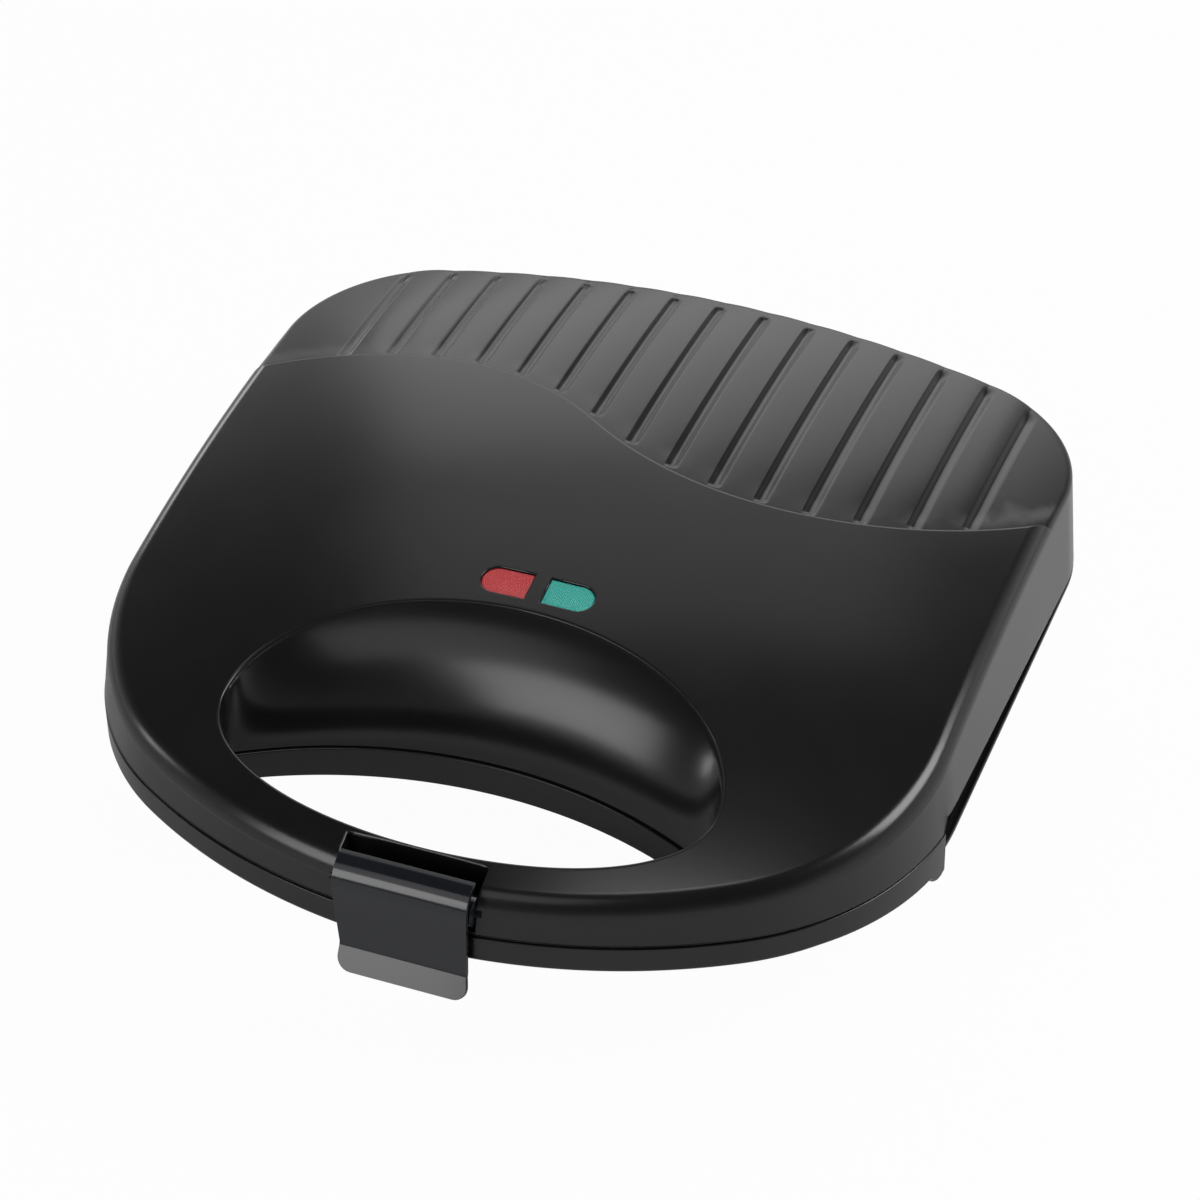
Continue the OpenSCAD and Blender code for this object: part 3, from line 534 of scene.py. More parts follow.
def groove_lines(sheet, size, crown):
    last = (size.groove_count - 1) / 2
    for i in range(size.groove_count):
        gx = crown.groove_x + (i - last) * size.groove_pitch
        start, end = (float(v) for v in crown.groove_ends(np.array(gx)))
        ys = np.linspace(start, end, 22)
        sheet.line([(gx, y) for y in ys])
        for r in (0.3, 0.6, 0.9, 1.2, 1.5, 1.8, 2.2, 2.6, 3.0, 3.4):
            turn = np.linspace(math.pi, 2 * math.pi, 13)
            front = [(gx + r * math.cos(a), start + r * math.sin(a)) for a in turn]
            rear = [(gx - r * math.cos(a), end - r * math.sin(a)) for a in turn]
            left, right = [(gx - r, y) for y in ys[-2:0:-1]], [(gx + r, y) for y in ys[1:-1]]
            sheet.line(left + front + right + rear, True)
        if i:
            sheet.line([(gx - size.groove_pitch / 2, y) for y in ys])


def pocket_lines(sheet, crown):
    w, back = crown.pocket
    front, bar_front = -120, -112
    for grow in (0, 0.04, 0.15, 0.35, 0.6, 1.0):
        x0, x1 = -w - grow, w + grow
        sheet.line([(x0, front)] + [(x0, y) for y in np.linspace(bar_front, back, 8)[:-1]]
                   + [(x, back + grow) for x in np.linspace(x0, x1, 20)]
                   + [(x1, y) for y in np.linspace(back, bar_front, 8)[1:]] + [(x1, front)])


def window_lines(sheet, crown):
    ly, gap, length, depth = crown.lens
    end = gap + length - depth / 2
    half_turn = np.linspace(-math.pi / 2, math.pi / 2, 25)
    for grow in (0, 0.05, 0.15, 0.35, 0.6):
        g = 0.1 + grow
        half = depth / 2 + g
        bow = [(end + half * math.cos(a), half * math.sin(a)) for a in half_turn]
        shape = [(gap - g, -half), (end / 2, -half)] + bow + [(end / 2, half), (gap - g, half)]
        for side in (1, -1):
            sheet.line([(side * x, ly + y) for x, y in shape], True)


def lid_skin(size):
    plan = Plan(size)
    crown = Crown(size, plan)
    sheet = Sheet()
    w, back = crown.pocket
    for inset in (0, 0.04, 0.14, 0.3, 0.5, 0.8, 1.2, 1.7, 2.3, 3.0, 3.8, 4.5, 5.3):
        sheet.line(plan.outline(size.draft + inset), True)
    xs = np.concatenate([[-HALF_W - 2], np.linspace(-HALF_W + 0.5, HALF_W - 0.5, 150), [HALF_W + 2]])
    line, tilt = crown.wave(xs)
    stretch = np.sqrt(1 + tilt * tilt)
    for d in (-2.0, -1.3, -1.1, -0.9, -0.7, -0.5, -0.3, -0.14, -0.04, 0, 0.15, 0.2, 0.3, 0.45, 0.65, 1.0):
        sheet.line(np.column_stack([xs, line + d * stretch]))
    groove_lines(sheet, size, crown)
    for grow in (0, 0.05, 0.15, 0.35, 0.6, 0.9, 1.3, 2.2):
        sheet.line(oval_points(crown, grow, 0, 2 * math.pi, 241)[:-1], True)
    for grow in (-2.4, -1.5, -0.9, -0.5, -0.25, -0.1):
        sheet.line(oval_points(crown, grow, 0.02, math.pi - 0.02, 121))
    cy, r = crown.lip
    lip_lines(sheet, crown, r, (0, 0.1, 0.3, 0.6, 1.0, 1.6, 2.4, 3.4, 4.6, 6, 7.6, 9.4, 11.4, 13.6, 16, 18.5))
    pocket_lines(sheet, crown)
    window_lines(sheet, crown)

    def clear(x, y):
        """Away from every contour line."""
        behind = crown.behind_wave(x, y)
        between = np.abs(np.mod((x - crown.groove_x) / size.groove_pitch, 1) - 0.5) * size.groove_pitch
        grooves = (behind < 0) | (crown.groove(x, y)[0] > 3.6) & (between > 1.2)
        cuts = (crown.rim(x, y) > 3.0) & (crown.window(x, y) > 1.6) & (crown.pocket_gap(x, y) > 2)
        return (plan.inside(x, y)[0] > 7.5) & (np.abs(behind) > 2.2) & cuts & grooves
    sheet.scatter((-HALF_W, -size.half_depth), (HALF_W, size.half_depth), 3.6, clear)

    def keep(x, y):
        rim = crown.rim(x, y)
        hole = (rim < 0) & ((np.hypot(x, y - cy) < r) | (y < crown.oval[1]))
        pocket = (np.abs(x) < w) & (y < back)
        return (plan.inside(x, y)[0] > size.draft) & ~hole & (crown.window(x, y) > 0) & ~pocket
    xy, tri = sheet.triangles(keep)
    x, y = xy[:, 0], xy[:, 1]
    z = crown.height(x, y)
    normal = slope_normals(crown.height, x, y)
    top = np.column_stack([xy, z])
    skin = Skin()
    skin.faces(top[tri], normal[tri])
    window_y, window_x, window_wall = crown.lens[0], 9.0, 3.2
    for loop in boundary_loops(tri):
        p = xy[loop]
        edge, n = top[loop], normal[loop]
        mid = p.mean(0)
        if np.ptp(p[:, 0]) > ROUND:
            outer_wall(skin, size, plan, crown, p, edge, n)
        elif abs(mid[1] - window_y) < 6:
            down = edge - (0, 0, window_wall)
            out = unit(columns(math.copysign(window_x, mid[0]) - p[:, 0], window_y - p[:, 1], 0.0))
            skin.rows([edge, down], [(n, out), (out, out)])
        else:
            flat = level(n)
            low = lift(p, SEAM)
            skin.rows([edge, low], [(flat, flat), (flat, flat)])
            inward = low[:, :2] - flat[:, :2] * WALL
            skin.rows([low, lift(inward, SEAM), lift(inward, 4.0)])
    return skin


def outer_wall(skin, size, plan, crown, p, edge, n):
    """Drafted wall under the rounded edge, the floor of the latch pocket and the rim's underside."""
    w, back = crown.pocket
    gap, nx, ny = plan.inside(p[:, 0], p[:, 1])
    pocket = (np.abs(p[:, 0]) < w + 0.02) & (p[:, 1] < back + 0.02) & (gap > size.draft + 0.01)
    sunk = pocket[:, None]
    out = columns(nx, ny, 0.0)
    wall_normal = np.where(sunk, level(n), unit(out + (0, 0, 0.04)))
    low = side_gap(size, plan, p[:, 1], size.gap_lid)
    floor_z, last, up = 1.4, 0.94, np.array([0, 0, 1.0])
    rows, normals = [edge], [(n, n)]
    for share in (0.04, 0.25, 0.5, 0.75, last):
        spot = p + out[:, :2] * (size.draft * share)
        row = lift(spot, edge[:, 2] + (low - edge[:, 2]) * share)
        depth = edge[pocket, 2] + (floor_z - edge[pocket, 2]) * share / last
        row[pocket] = lift(p[pocket], np.maximum(depth, floor_z))
        rows.append(row)
        normals.append((wall_normal, wall_normal))
    outer = p + out[:, :2] * size.draft
    front = sorted((q for q in plan.outline(size.draft, 0.5) if q[1] < -90), key=lambda q: q[0])
    ahead = np.column_stack([p[:, 0], np.interp(p[:, 0], *np.array(front).T)])
    outer[pocket] = (ahead + out[:, :2] * size.draft * 0.95)[pocket]
    for inset, rise, tilt in RIM_STEPS:
        normal = unit(out * (1 - tilt) + (0, 0, -tilt))
        above, z = normal, low + rise
        if not inset:
            above, z = np.where(sunk, up, normal), np.where(pocket, floor_z, z)
            normals[-1] = (wall_normal, np.where(sunk, up, wall_normal))
        rows.append(lift(outer - out[:, :2] * inset, z))
        normals.append((above, normal))
    skin.rows(rows, normals)
    under = outer - out[:, :2] * RIM_STEPS[-1][0]
    inner = outer - out[:, :2] * WALL
    skin.rows([lift(under, low), lift(inner, low), lift(inner, low + 5)])


def base_depth(size, plan):
    """Depth of the base's underside below the parting plane."""
    grip, deep, end = size.grip_h, size.base_h, -size.grip_end
    wall_w, wall_z, floor_w = 6, 26, 18  # steep side wall of the well, and where its rounded floor begins
    bend_y = [-48.4, -24.9, -19.2, -13.4, -8.5, -3.0, 4.0]
    bend_z = [grip, wall_z, 30.6, 34.5, 37.1, deep, deep]
    block_y = [-78] + [end - ahead for ahead in BLOCK_END]
    block_z = [grip, 9.7, 10.4, 11.4, 12.9, 13.6, 13.8, 13.3]
    flange_h, blend = 1.6, 0.8

    def rounded(x, y):
        r = size.rear_corner_r - WELL_SET
        qx = np.abs(x) - (HALF_W - WELL_SET - r)
        qy = y - plan.rear_y
        return r - np.where(qy > 0, np.hypot(np.maximum(qx, 0), qy), qx)

    def depth(x, y):
        inset = rounded(x, y)
        turn = np.clip((floor_w - inset) / (floor_w - wall_w), 0, 1)
        floor = wall_z + (deep - wall_z) * np.sqrt(np.maximum(1 - turn ** 2, 0))
        side = np.where(inset < wall_w, grip + inset * (wall_z - grip) / wall_w, floor)
        side = np.where(inset < 0, grip + inset * 60, side)
        front = np.interp(y, bend_y, bend_z)
        front = np.where(y < bend_y[0], grip + (y - bend_y[0]) * 0.757, front)
        well = soft_min(side, front, 4.0)
        flange = side_gap(size, plan, y, size.gap_base) + flange_h
        around = np.where(y < end, np.interp(y, block_y, block_z), flange)
        gap = plan.inside(x, y)[0]
        edge = np.where(y < end, roll(gap, 1.2), roll(gap, 0.7))
        return np.maximum(around - edge, -soft_min(-well, -around, blend) * (well > around - blend))
    return depth


def base_skin(size):
    plan = Plan(size)
    crown = Crown(size, plan)
    depth = base_depth(size, plan)
    end = -size.grip_end
    sheet = Sheet()
    for inset in (0, 0.05, 0.2, 0.45, 0.8, 1.2, 1.8):
        sheet.line(plan.outline(inset), True)
    for inset in (-0.15, 0, 0.1, 1.5, 3, 4.5, 6, 6.6, 7.6, 9, 10.6, 12.5, 14.5, 16.5, 18, 20):
        half = HALF_W - WELL_SET - inset
        r = size.rear_corner_r - WELL_SET - inset
        cx = half - r
        ys = list(np.linspace(-60, plan.rear_y, 40, endpoint=False))
        rear = [(x, plan.rear_y + r) for x in np.linspace(cx, -cx, 30)[1:-1]]
        right = [(half, y) for y in ys] + arc_points(cx, plan.rear_y, r, 0, math.pi / 2)
        left = arc_points(-cx, plan.rear_y, r, math.pi / 2, math.pi) + [(-half, y) for y in reversed(ys)]
        sheet.line(right + rear + left)
    for y in (-78, *(end - ahead for ahead in BLOCK_END), end + 0.02):
        sheet.line([(x, y) for x in np.linspace(-HALF_W - 2, HALF_W + 2, 60)])
    for y in (-50, -48.4, -47, -40, -32, -24.9, -22, -19.2, -16, -13.4, -11, -8.5, -6, -3, 0):
        sheet.line([(x, y) for x in np.linspace(-HALF_W + 3, HALF_W - 3, 60)])
    for grow in (0, 0.3, 1.0):
        sheet.line(oval_points(crown, grow, 0, 2 * math.pi, 161)[:-1], True)
    cy, r = crown.lip[0], crown.lip[1] - 0.8
    lip_lines(sheet, crown, r, (0, 0.3, 1.5, 3.6, 4.5))

    def clear(x, y):
        """Away from every contour line."""
        away = (plan.inside(x, y)[0] > 3.5) & (crown.rim(x, y) > 1.6)
        return away & ((y > 3) | (y < -52)) & (np.abs(x) < HALF_W - 24)
    sheet.scatter((-HALF_W, -size.half_depth), (HALF_W, size.half_depth), 6.0, clear)

    def keep(x, y):
        rim = crown.rim(x, y)
        return (plan.inside(x, y)[0] > 0) & ~((rim < 0) & ((np.hypot(x, y - cy) < r) | (y < crown.oval[1])))
    xy, tri = sheet.triangles(keep)
    x, y = xy[:, 0], xy[:, 1]
    z = depth(x, y)
    normal = slope_normals(depth, x, y)
    top = np.column_stack([xy, z])
    skin = Skin(flip=True)
    skin.faces(top[tri], normal[tri])
    for loop in boundary_loops(tri):
        p = xy[loop]
        edge = top[loop]
        if np.ptp(p[:, 0]) > ROUND:
            out = columns(*plan.inside(p[:, 0], p[:, 1])[1:], 0.0)
            low = side_gap(size, plan, p[:, 1], size.gap_base)
        else:
            out, low = loop_outward(p), np.full(len(p), SEAM)
        rows, normals = [edge], [(out, out)]
        for inset, rise, tilt in RIM_STEPS:
            normal_row = unit(out * (1 - tilt) + (0, 0, -tilt))
            rows.append(lift(p - out[:, :2] * inset, np.minimum(low + rise, edge[:, 2])))
            normals.append((normal_row, normal_row))
        skin.rows(rows, normals)
        inner = p - out[:, :2] * WALL
        skin.rows([rows[-1], lift(inner, low), lift(inner, low + 4)])
    return skin


def plate_skin(centre_y, width, depth, corner, flip):
    """Baking plate with six ring moulds, its face 0.2 mm from the parting plane."""
    pitch, row, ring_r, tube, sheet_t = 66.0, 31.5, 19.0, 10.0, 2.0
    rings = [(pitch * i, centre_y + row * j) for i in (-1, 0, 1) for j in (-1, 1)]

    def edge(x, y):
        qx, qy = np.abs(x) - width / 2 + corner, np.abs(y - centre_y) - depth / 2 + corner
        return corner - np.hypot(np.maximum(qx, 0), np.maximum(qy, 0)) - np.minimum(np.maximum(qx, qy), 0)

    def off_ring(x, y):
        return np.min([np.abs(np.hypot(x - cx, y - cy) - ring_r) for cx, cy in rings], axis=0)

    def face(x, y):
        d = off_ring(x, y)
        channel = np.sqrt(np.maximum(tube ** 2 - d ** 2, 0))
        return SEAM + both(both(channel, roll(np.abs(d - tube), 0.5) * 0.6), roll(edge(x, y), 0.6), 4)

    def rear(x, y):
        d = off_ring(x, y)
        bulge = np.sqrt(np.maximum((tube + sheet_t) ** 2 - d ** 2, 0))
        return SEAM + sheet_t + np.maximum(bulge - sheet_t, 0)

    sheet = Sheet()

    def frame_line(inset):
        r, hx, hy = corner - inset, width / 2 - corner, depth / 2 - corner
        corners = ((hx, -hy, -90), (hx, hy, 0), (-hx, hy, 90), (-hx, -hy, 180))
        turns = [(cx, centre_y + cy, math.radians(a + t)) for cx, cy, a in corners for t in range(0, 91, 6)]
        return [(cx + r * math.cos(t), cy + r * math.sin(t)) for cx, cy, t in turns]
    for inset in (0, 0.05, 0.2, 0.4, 0.6, 1.2):
        sheet.line(frame_line(inset), True)
    full_turn = np.linspace(0, 2 * math.pi, 73)[:-1]
    for cx, cy in rings:
        for off in (0, 2.5, 5, 7, 8.4, 9.3, 9.7, 9.9, 10, 10.1, 10.3, 10.5, 11, 11.9):
            for r in {ring_r - off, ring_r + off}:
                if 6.5 < r < 31.2:
                    sheet.line([(cx + r * math.cos(a), cy + r * math.sin(a)) for a in full_turn], True)
    sheet.scatter((-width / 2, centre_y - depth / 2), (width / 2, centre_y + depth / 2), 5.0,
                  lambda x, y: (edge(x, y) > 2.5) & (off_ring(x, y) > 13.5))
    xy, tri = sheet.triangles(lambda x, y: edge(x, y) > 0)
    x, y = xy[:, 0], xy[:, 1]
    skin = Skin(flip)
    front, back = np.column_stack([xy, -face(x, y)]), np.column_stack([xy, -rear(x, y)])
    under = tri[:, ::-1]
    skin.faces(front[tri], slope_normals(lambda x, y: -face(x, y), x, y)[tri])
    skin.faces(back[under], -slope_normals(lambda x, y: -rear(x, y), x, y)[under])
    loop = boundary_loops(tri)[0]
    out = loop_outward(xy[loop])
    skin.rows([front[loop], back[loop]], [(out, out), (out, out)])
    return skin


# ---------------------------------------------------------------- modelling steps

def world(x, y, z):
    return (Vector((x, y, z)) + SHIFT) * MM


def rest():
    """Object mode, with nothing selected."""
    if bpy.context.object and bpy.context.object.mode != "OBJECT":
        bpy.ops.object.mode_set(mode="OBJECT")
    bpy.ops.object.select_all(action="DESELECT")


def begun(name):
    """Names a new primitive and puts its place into its mesh."""
    piece = bpy.context.object
    piece.name = piece.data.name = name
    bpy.ops.object.transform_apply(location=True, rotation=True, scale=True)
    return piece


def cylinder(name, at, r, length, axis="Z", vertices=64):
    rest()
    turn = {"X": (0, math.pi / 2, 0), "Y": (math.pi / 2, 0, 0), "Z": (0, 0, 0)}[axis]
    bpy.ops.mesh.primitive_cylinder_add(vertices=vertices, radius=r * MM, depth=length * MM,
                                        location=world(*at), rotation=turn)
    return begun(name)


def block(name, low, high):
    rest()
    mid = (Vector(low) + Vector(high)) / 2
    bpy.ops.mesh.primitive_cube_add(size=MM, location=world(*mid), scale=Vector(high) - Vector(low))
    return begun(name)


def pick(piece, test, edges=False):
    """Edit mode, with the faces (or edges) selected whose middle and direction pass the test."""
    bpy.context.view_layer.objects.active = piece
    piece.select_set(True)
    if piece.mode != "EDIT":
        bpy.ops.object.mode_set(mode="EDIT")
    bpy.ops.mesh.select_mode(type="EDGE" if edges else "FACE")
    bpy.ops.mesh.select_all(action="DESELECT")
    mesh = bmesh.from_edit_mesh(piece.data)
    found = 0
    for part in mesh.edges if edges else mesh.faces:
        if edges:
            ends = [v.co for v in part.verts]
            middle, way = (ends[0] + ends[1]) / 2, (ends[1] - ends[0]).normalized()
        else:
            middle, way = part.calc_center_median(), part.normal
        if test(middle / MM - SHIFT, way):
            part.select_set(True)
            found += 1
    bmesh.update_edit_mesh(piece.data)
    if not found:
        raise RuntimeError(f"no face of {piece.name} is where it is looked for")


def extrude(x, y, z):
    bpy.ops.mesh.extrude_region_move(TRANSFORM_OT_translate={"value": (x * MM, y * MM, z * MM)})


def modify(piece, kind, **settings):
    rest()
    bpy.context.view_layer.objects.active = piece
    piece.select_set(True)
    step = piece.modifiers.new(kind.title(), kind)
    for key, value in settings.items():
        setattr(step, key, value)
    bpy.ops.object.modifier_apply(modifier=step.name)


def join_solid(piece, other, operation="UNION"):
    modify(piece, "BOOLEAN", operation=operation, object=other, solver="EXACT")
    bpy.data.objects.remove(other)


def finished(piece, material, body, edge=0.3, angle=35, segments=3):
    """Rounds the edges, closes and smooths a piece, and gives it its finish and its body."""
    if edge:
        modify(piece, "BEVEL", width=edge * MM, segments=segments, limit_method="ANGLE",
               angle_limit=math.radians(angle), harden_normals=True)
    rest()
    bpy.context.view_layer.objects.active = piece
    piece.select_set(True)
    bpy.ops.object.mode_set(mode="EDIT")
    bpy.ops.mesh.select_all(action="SELECT")
    bpy.ops.mesh.remove_doubles(threshold=0.000002)
    bpy.ops.mesh.normals_make_consistent(inside=False)
    bpy.ops.object.mode_set(mode="OBJECT")
    bpy.ops.object.shade_smooth_by_angle(angle=math.radians(32))
    modify(piece, "WEIGHTED_NORMAL", keep_sharp=True)
    piece.data.materials.clear()
    piece.data.materials.append(material)
    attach(piece, body)
    return piece


# ---------------------------------------------------------------- finishes

class Value:
    """A socket that reads like a number in an expression."""

    def __init__(self, graph, socket):
        self.graph, self.socket = graph, socket

    def math(self, operation, *others):
        return self.graph.node("ShaderNodeMath", {"operation": operation}, dict(enumerate((self, *others))))

    def __add__(self, other):
        return self.math("ADD", other)

    __radd__ = __add__

    def __sub__(self, other):
        return self.math("SUBTRACT", other)

    def __mul__(self, other):
        return self.math("MULTIPLY", other)

    def sine(self):
        return self.math("SINE")

    def between(self, low, high):
        """0 below low, 1 above high, eased in between."""
        return self.graph.node("ShaderNodeMapRange", {"interpolation_type": "SMOOTHSTEP"},
                               {"Value": self, "From Min": low, "From Max": high})


class Graph:
    """Nodes of a material or of the sky."""

    def __init__(self, tree):
        self.tree = tree

    def node(self, kind, settings, values, output=0):
        node = self.tree.nodes.new(kind)
        for key, value in settings.items():
            if key == "stops":
                for i, (at, grey) in enumerate(value):
                    stop = node.color_ramp.elements[i] if i < 2 else node.color_ramp.elements.new(at)
                    stop.position, stop.color = at, (grey, grey, grey, 1)
            else:
                setattr(node, key, value)
        for key, value in values.items():
            self.feed(node.inputs[key], value)
        return Value(self, node.outputs[output])

    def feed(self, socket, value):
        if isinstance(value, Value):
            self.tree.links.new(value.socket, socket)
        elif isinstance(value, (tuple, list)) and socket.type == "RGBA" and len(value) == 3:
            socket.default_value = (*value, 1.0)
        else:
            socket.default_value = value

    def parts(self, vector):
        split = self.node("ShaderNodeSeparateXYZ", {}, {0: vector}).socket.node
        return [Value(self, socket) for socket in split.outputs]


class Finish(Graph):
    """A material and the nodes of its pattern."""

    def __init__(self, name, **sockets):
        self.material = bpy.data.materials.new(name)
        self.material.use_nodes = True
        super().__init__(self.material.node_tree)
        self.shader = self.tree.nodes["Principled BSDF"]
        self.place = self.node("ShaderNodeTexCoord", {}, {}, "Object")
        for key, value in sockets.items():
            self.set(key.replace("_", " "), value)

    def set(self, key, value):
        self.feed(self.shader.inputs[key], value)
        if key == "Base Color" and not isinstance(value, Value):
            self.material.diffuse_color = (*tuple(value)[:3], 1.0)

    def noise(self, scale, detail=2.0, stretch=(1, 1, 1)):
        place = self.node("ShaderNodeMapping", {}, {"Vector": self.place, "Scale": stretch})
        return self.node("ShaderNodeTexNoise", {}, {"Vector": place, "Scale": scale, "Detail": detail}, "Fac")

    def vary(self, key, value, pattern, range_):
        """A socket that varies evenly around a value."""
        self.set(key, value + (pattern - 0.5) * range_)

    def mottle(self, pattern, low, high, shade, share):
        """Base colour between a shade and its lighter or darker share."""
        self.set("Base Color", self.blend(pattern.between(low, high), shade, tuple(c * share for c in shade)))

    def blend(self, factor, a, b):
        node = self.tree.nodes.new("ShaderNodeMix")
        node.data_type = "RGBA"
        for index, value in ((0, factor), (6, a), (7, b)):
            self.feed(node.inputs[index], value)
        return Value(self, node.outputs[2])

    def bump(self, height, distance):
        values = {"Height": height, "Distance": distance, "Strength": 1.0}
        self.set("Normal", self.node("ShaderNodeBump", {}, values))


def satin_shell(look, name):
    """Satin moulded plastic: faint orange peel, fine grain and slightly uneven sheen."""
    rough, shade = look.shell_rough, tuple(look.shell)
    finish = Finish(name, Base_Color=shade, Roughness=rough)
    patchy = finish.noise(38.0, 3.0)
    grain = finish.noise(2600.0, 2.0)
    finish.set("Roughness", rough + (patchy - 0.5) * 0.05 + (grain - 0.5) * 0.06)
    finish.mottle(patchy, 0.3, 0.7, shade, 1.25)
    finish.set("Specular IOR Level", 0.5)
    finish.bump(grain * 0.5 + finish.noise(420.0, 1.0) * 0.5, 0.000012)
    return finish.material


def gloss_latch(look):
    """Glossy plastic with very faint moulding waves."""
    finish = Finish("latch_gloss", Base_Color=tuple(look.latch), Roughness=0.14)
    wave = finish.noise(60.0, 1.0, (0.3, 1, 1))
    finish.set("Roughness", 0.1 + wave * 0.08)
    finish.mottle(wave, 0.35, 0.7, tuple(look.latch), 1.3)
    finish.bump(wave, 0.00003)
    finish.set("Coat Weight", 0.2)
    finish.set("Coat Roughness", 0.05)
    return finish.material


def lens_plastic(name, colour):
    """Clear tinted plastic with a fine prism pattern under its face; its facets carry painted highlight and
    painted shade in the colour, and the lens has a faint painted glow.
    """
    finish = Finish(name, Base_Color=tuple(colour), Roughness=0.16)
    x, y, _ = finish.parts(finish.place)
    k = 2 * math.pi / 0.0009  # prisms 0.9 mm apart
    prism = ((x + y) * k).sine() * ((x - y) * k).sine()
    # painted highlight and painted shade: each prism facet is made lighter or darker in the colour, as lit
    # and shaded facets would look
    light = tuple(min(1, c * 1.5 + 0.06) for c in colour)
    dark = tuple(c * 0.45 for c in colour)
    finish.set("Base Color", finish.blend(prism.between(-0.7, 0.9), dark, light))
    # painted glow: the lens gives off its own colour faintly as light, dimmer on the shaded facets
    finish.set("Emission Color", finish.blend(prism.between(-0.7, 0.9), dark, tuple(colour)))
    finish.set("Emission Strength", 0.22)
    finish.set("Coat Weight", 0.5)
    finish.set("Coat Roughness", 0.04)
    finish.bump(prism, 0.0002)
    return finish.material


def non_stick(look):
    """Sprayed non-stick coating with a fine pearl fleck."""
    finish = Finish("non_stick", Base_Color=tuple(look.coating), Roughness=0.42)
    fleck = finish.noise(5200.0, 1.0)
    peel = finish.noise(900.0, 2.0)
    shade = tuple(look.coating)
    pearl = tuple(min(1, c * 4) for c in shade)
    finish.set("Base Color", finish.blend(fleck.between(0.62, 0.78), shade, pearl))
    finish.set("Roughness", 0.34 + peel * 0.16)
    finish.set("Metallic", 0.35)
    finish.bump(peel, 0.00002)
    return finish.material


def drawn_metal(name, colour, rough, stretch):
    """Bare metal with the fine lines of drawing or rolling."""
    finish = Finish(name, Base_Color=colour, Metallic=1.0, Roughness=rough)
    lines = finish.noise(1400.0, 3.0, stretch)
    heat = finish.noise(45.0, 2.0)
    finish.vary("Roughness", rough, lines, 0.18)
    finish.mottle(heat, 0.35, 0.75, colour, 0.86)
    finish.bump(lines, 0.000015)
    return finish.material


def fine_grain(name, colour, rough, scale=1800.0, depth=0.00003):
    """Matt moulded or fired surface with an even grain."""
    finish = Finish(name, Base_Color=colour, Roughness=rough)
    grain = finish.noise(scale, 3.0)
    cloud = finish.noise(70.0, 2.0)
    finish.vary("Roughness", rough, grain, 0.12)
    finish.mottle(cloud, 0.3, 0.75, colour, 0.85)
    finish.bump(grain, depth)
    return finish.material


def lamp_glass(name, colour):
    """Thin tinted glass with a warm core."""
    finish = Finish(name, Base_Color=colour, Roughness=0.06, Alpha=0.45)
    cloud = finish.noise(300.0, 2.0)
    finish.set("Base Color", finish.blend(cloud, colour, tuple(c * 0.8 for c in colour)))
    finish.set("Alpha", 0.4 + cloud * 0.15)
    return finish.material


finish_of = {}


def give(material, *names):
    """Each part of the frame named here keeps its own mesh and takes the finish."""
    for name in names:
        slots = nodes[name].data.materials
        if not slots:
            slots.append(None)
        for i in range(len(slots)):
            slots[i] = material


# ---------------------------------------------------------------- operators

class DONUT_OT_finishes(bpy.types.Operator):
    """Makes the finishes and gives the inner parts theirs"""
    bl_idname = "donut_maker.finishes"
    bl_label = "Finishes"

    def execute(self, context):
        look = context.scene.donut_finishes
        steel = drawn_metal("drawn_steel", (0.6, 0.6, 0.61), 0.28, (0.05, 1, 1))
        finish_of.update(
            shell=satin_shell(look, "satin_shell"),
            base=satin_shell(look, "satin_base"),
            latch=gloss_latch(look),
            red=lens_plastic("red_prism", look.red),
            green=lens_plastic("green_prism", look.green),
            plate=non_stick(look),
            rubber=fine_grain("foot_rubber", (0.016, 0.016, 0.016), 0.72, 900.0, 0.00006))
        heat_frame = fine_grain("heat_frame", tuple(c * 0.8 for c in look.shell), 0.5)
        give(heat_frame, "upper_inner_frame", "lower_inner_frame")
        give(drawn_metal("blackened_steel", (0.03, 0.03, 0.032), 0.4, (0.05, 1, 1)), "latch_pin")
        give(steel, "hinge_pin_left", "hinge_pin_right", "upper_frame_screws", "lower_frame_screws",
             "upper_plate_screws", "lower_plate_screws")
        give(drawn_metal("heater_tube", (0.42, 0.41, 0.4), 0.42, (0.05, 1, 1)),
             "upper_heating_element", "lower_heating_element")
        give(drawn_metal("rolled_aluminium", (0.78, 0.79, 0.8), 0.3, (1, 0.04, 1)),
             "upper_reflector", "lower_reflector")
        give(fine_grain("steatite", (0.8, 0.78, 0.72), 0.6), "thermostat", "terminal_block", "lamp_holder")
        give(drawn_metal("fuse_case", (0.7, 0.68, 0.62), 0.35, (0.05, 1, 1)), "thermal_fuse")
        give(lamp_glass("neon_warm", (0.9, 0.55, 0.4)), "red_neon_lamp")
        give(lamp_glass("neon_cool", (0.6, 0.88, 0.75)), "green_neon_lamp")
        return {"FINISHED"}


class DONUT_OT_lid(bpy.types.Operator):
    """Lid shell with its wave, grooves, finger recess, lens windows and latch pocket"""
    bl_idname = "donut_maker.lid"
    bl_label = "Lid shell"

    def execute(self, context):
        shell = lid_skin(context.scene.donut_sizes).build("lid_shell", finish_of["shell"])
        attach(shell, "lid")
        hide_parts("upper_housing")
        for side in (-1, 1):
            name = f"lid_knuckle_{'left' if side < 0 else 'right'}"
            x, half = side * HINGE_X, 7
            knuckle = cylinder(name, (x, HINGE_Y, 0), KNUCKLE_R, 2 * half, "X")
            join_solid(knuckle, block("web", (x - half, HINGE_Y - WEB, SEAM), (x + half, HINGE_Y, KNUCKLE_R)))
            finished(knuckle, finish_of["shell"], "lid")
        return {"FINISHED"}


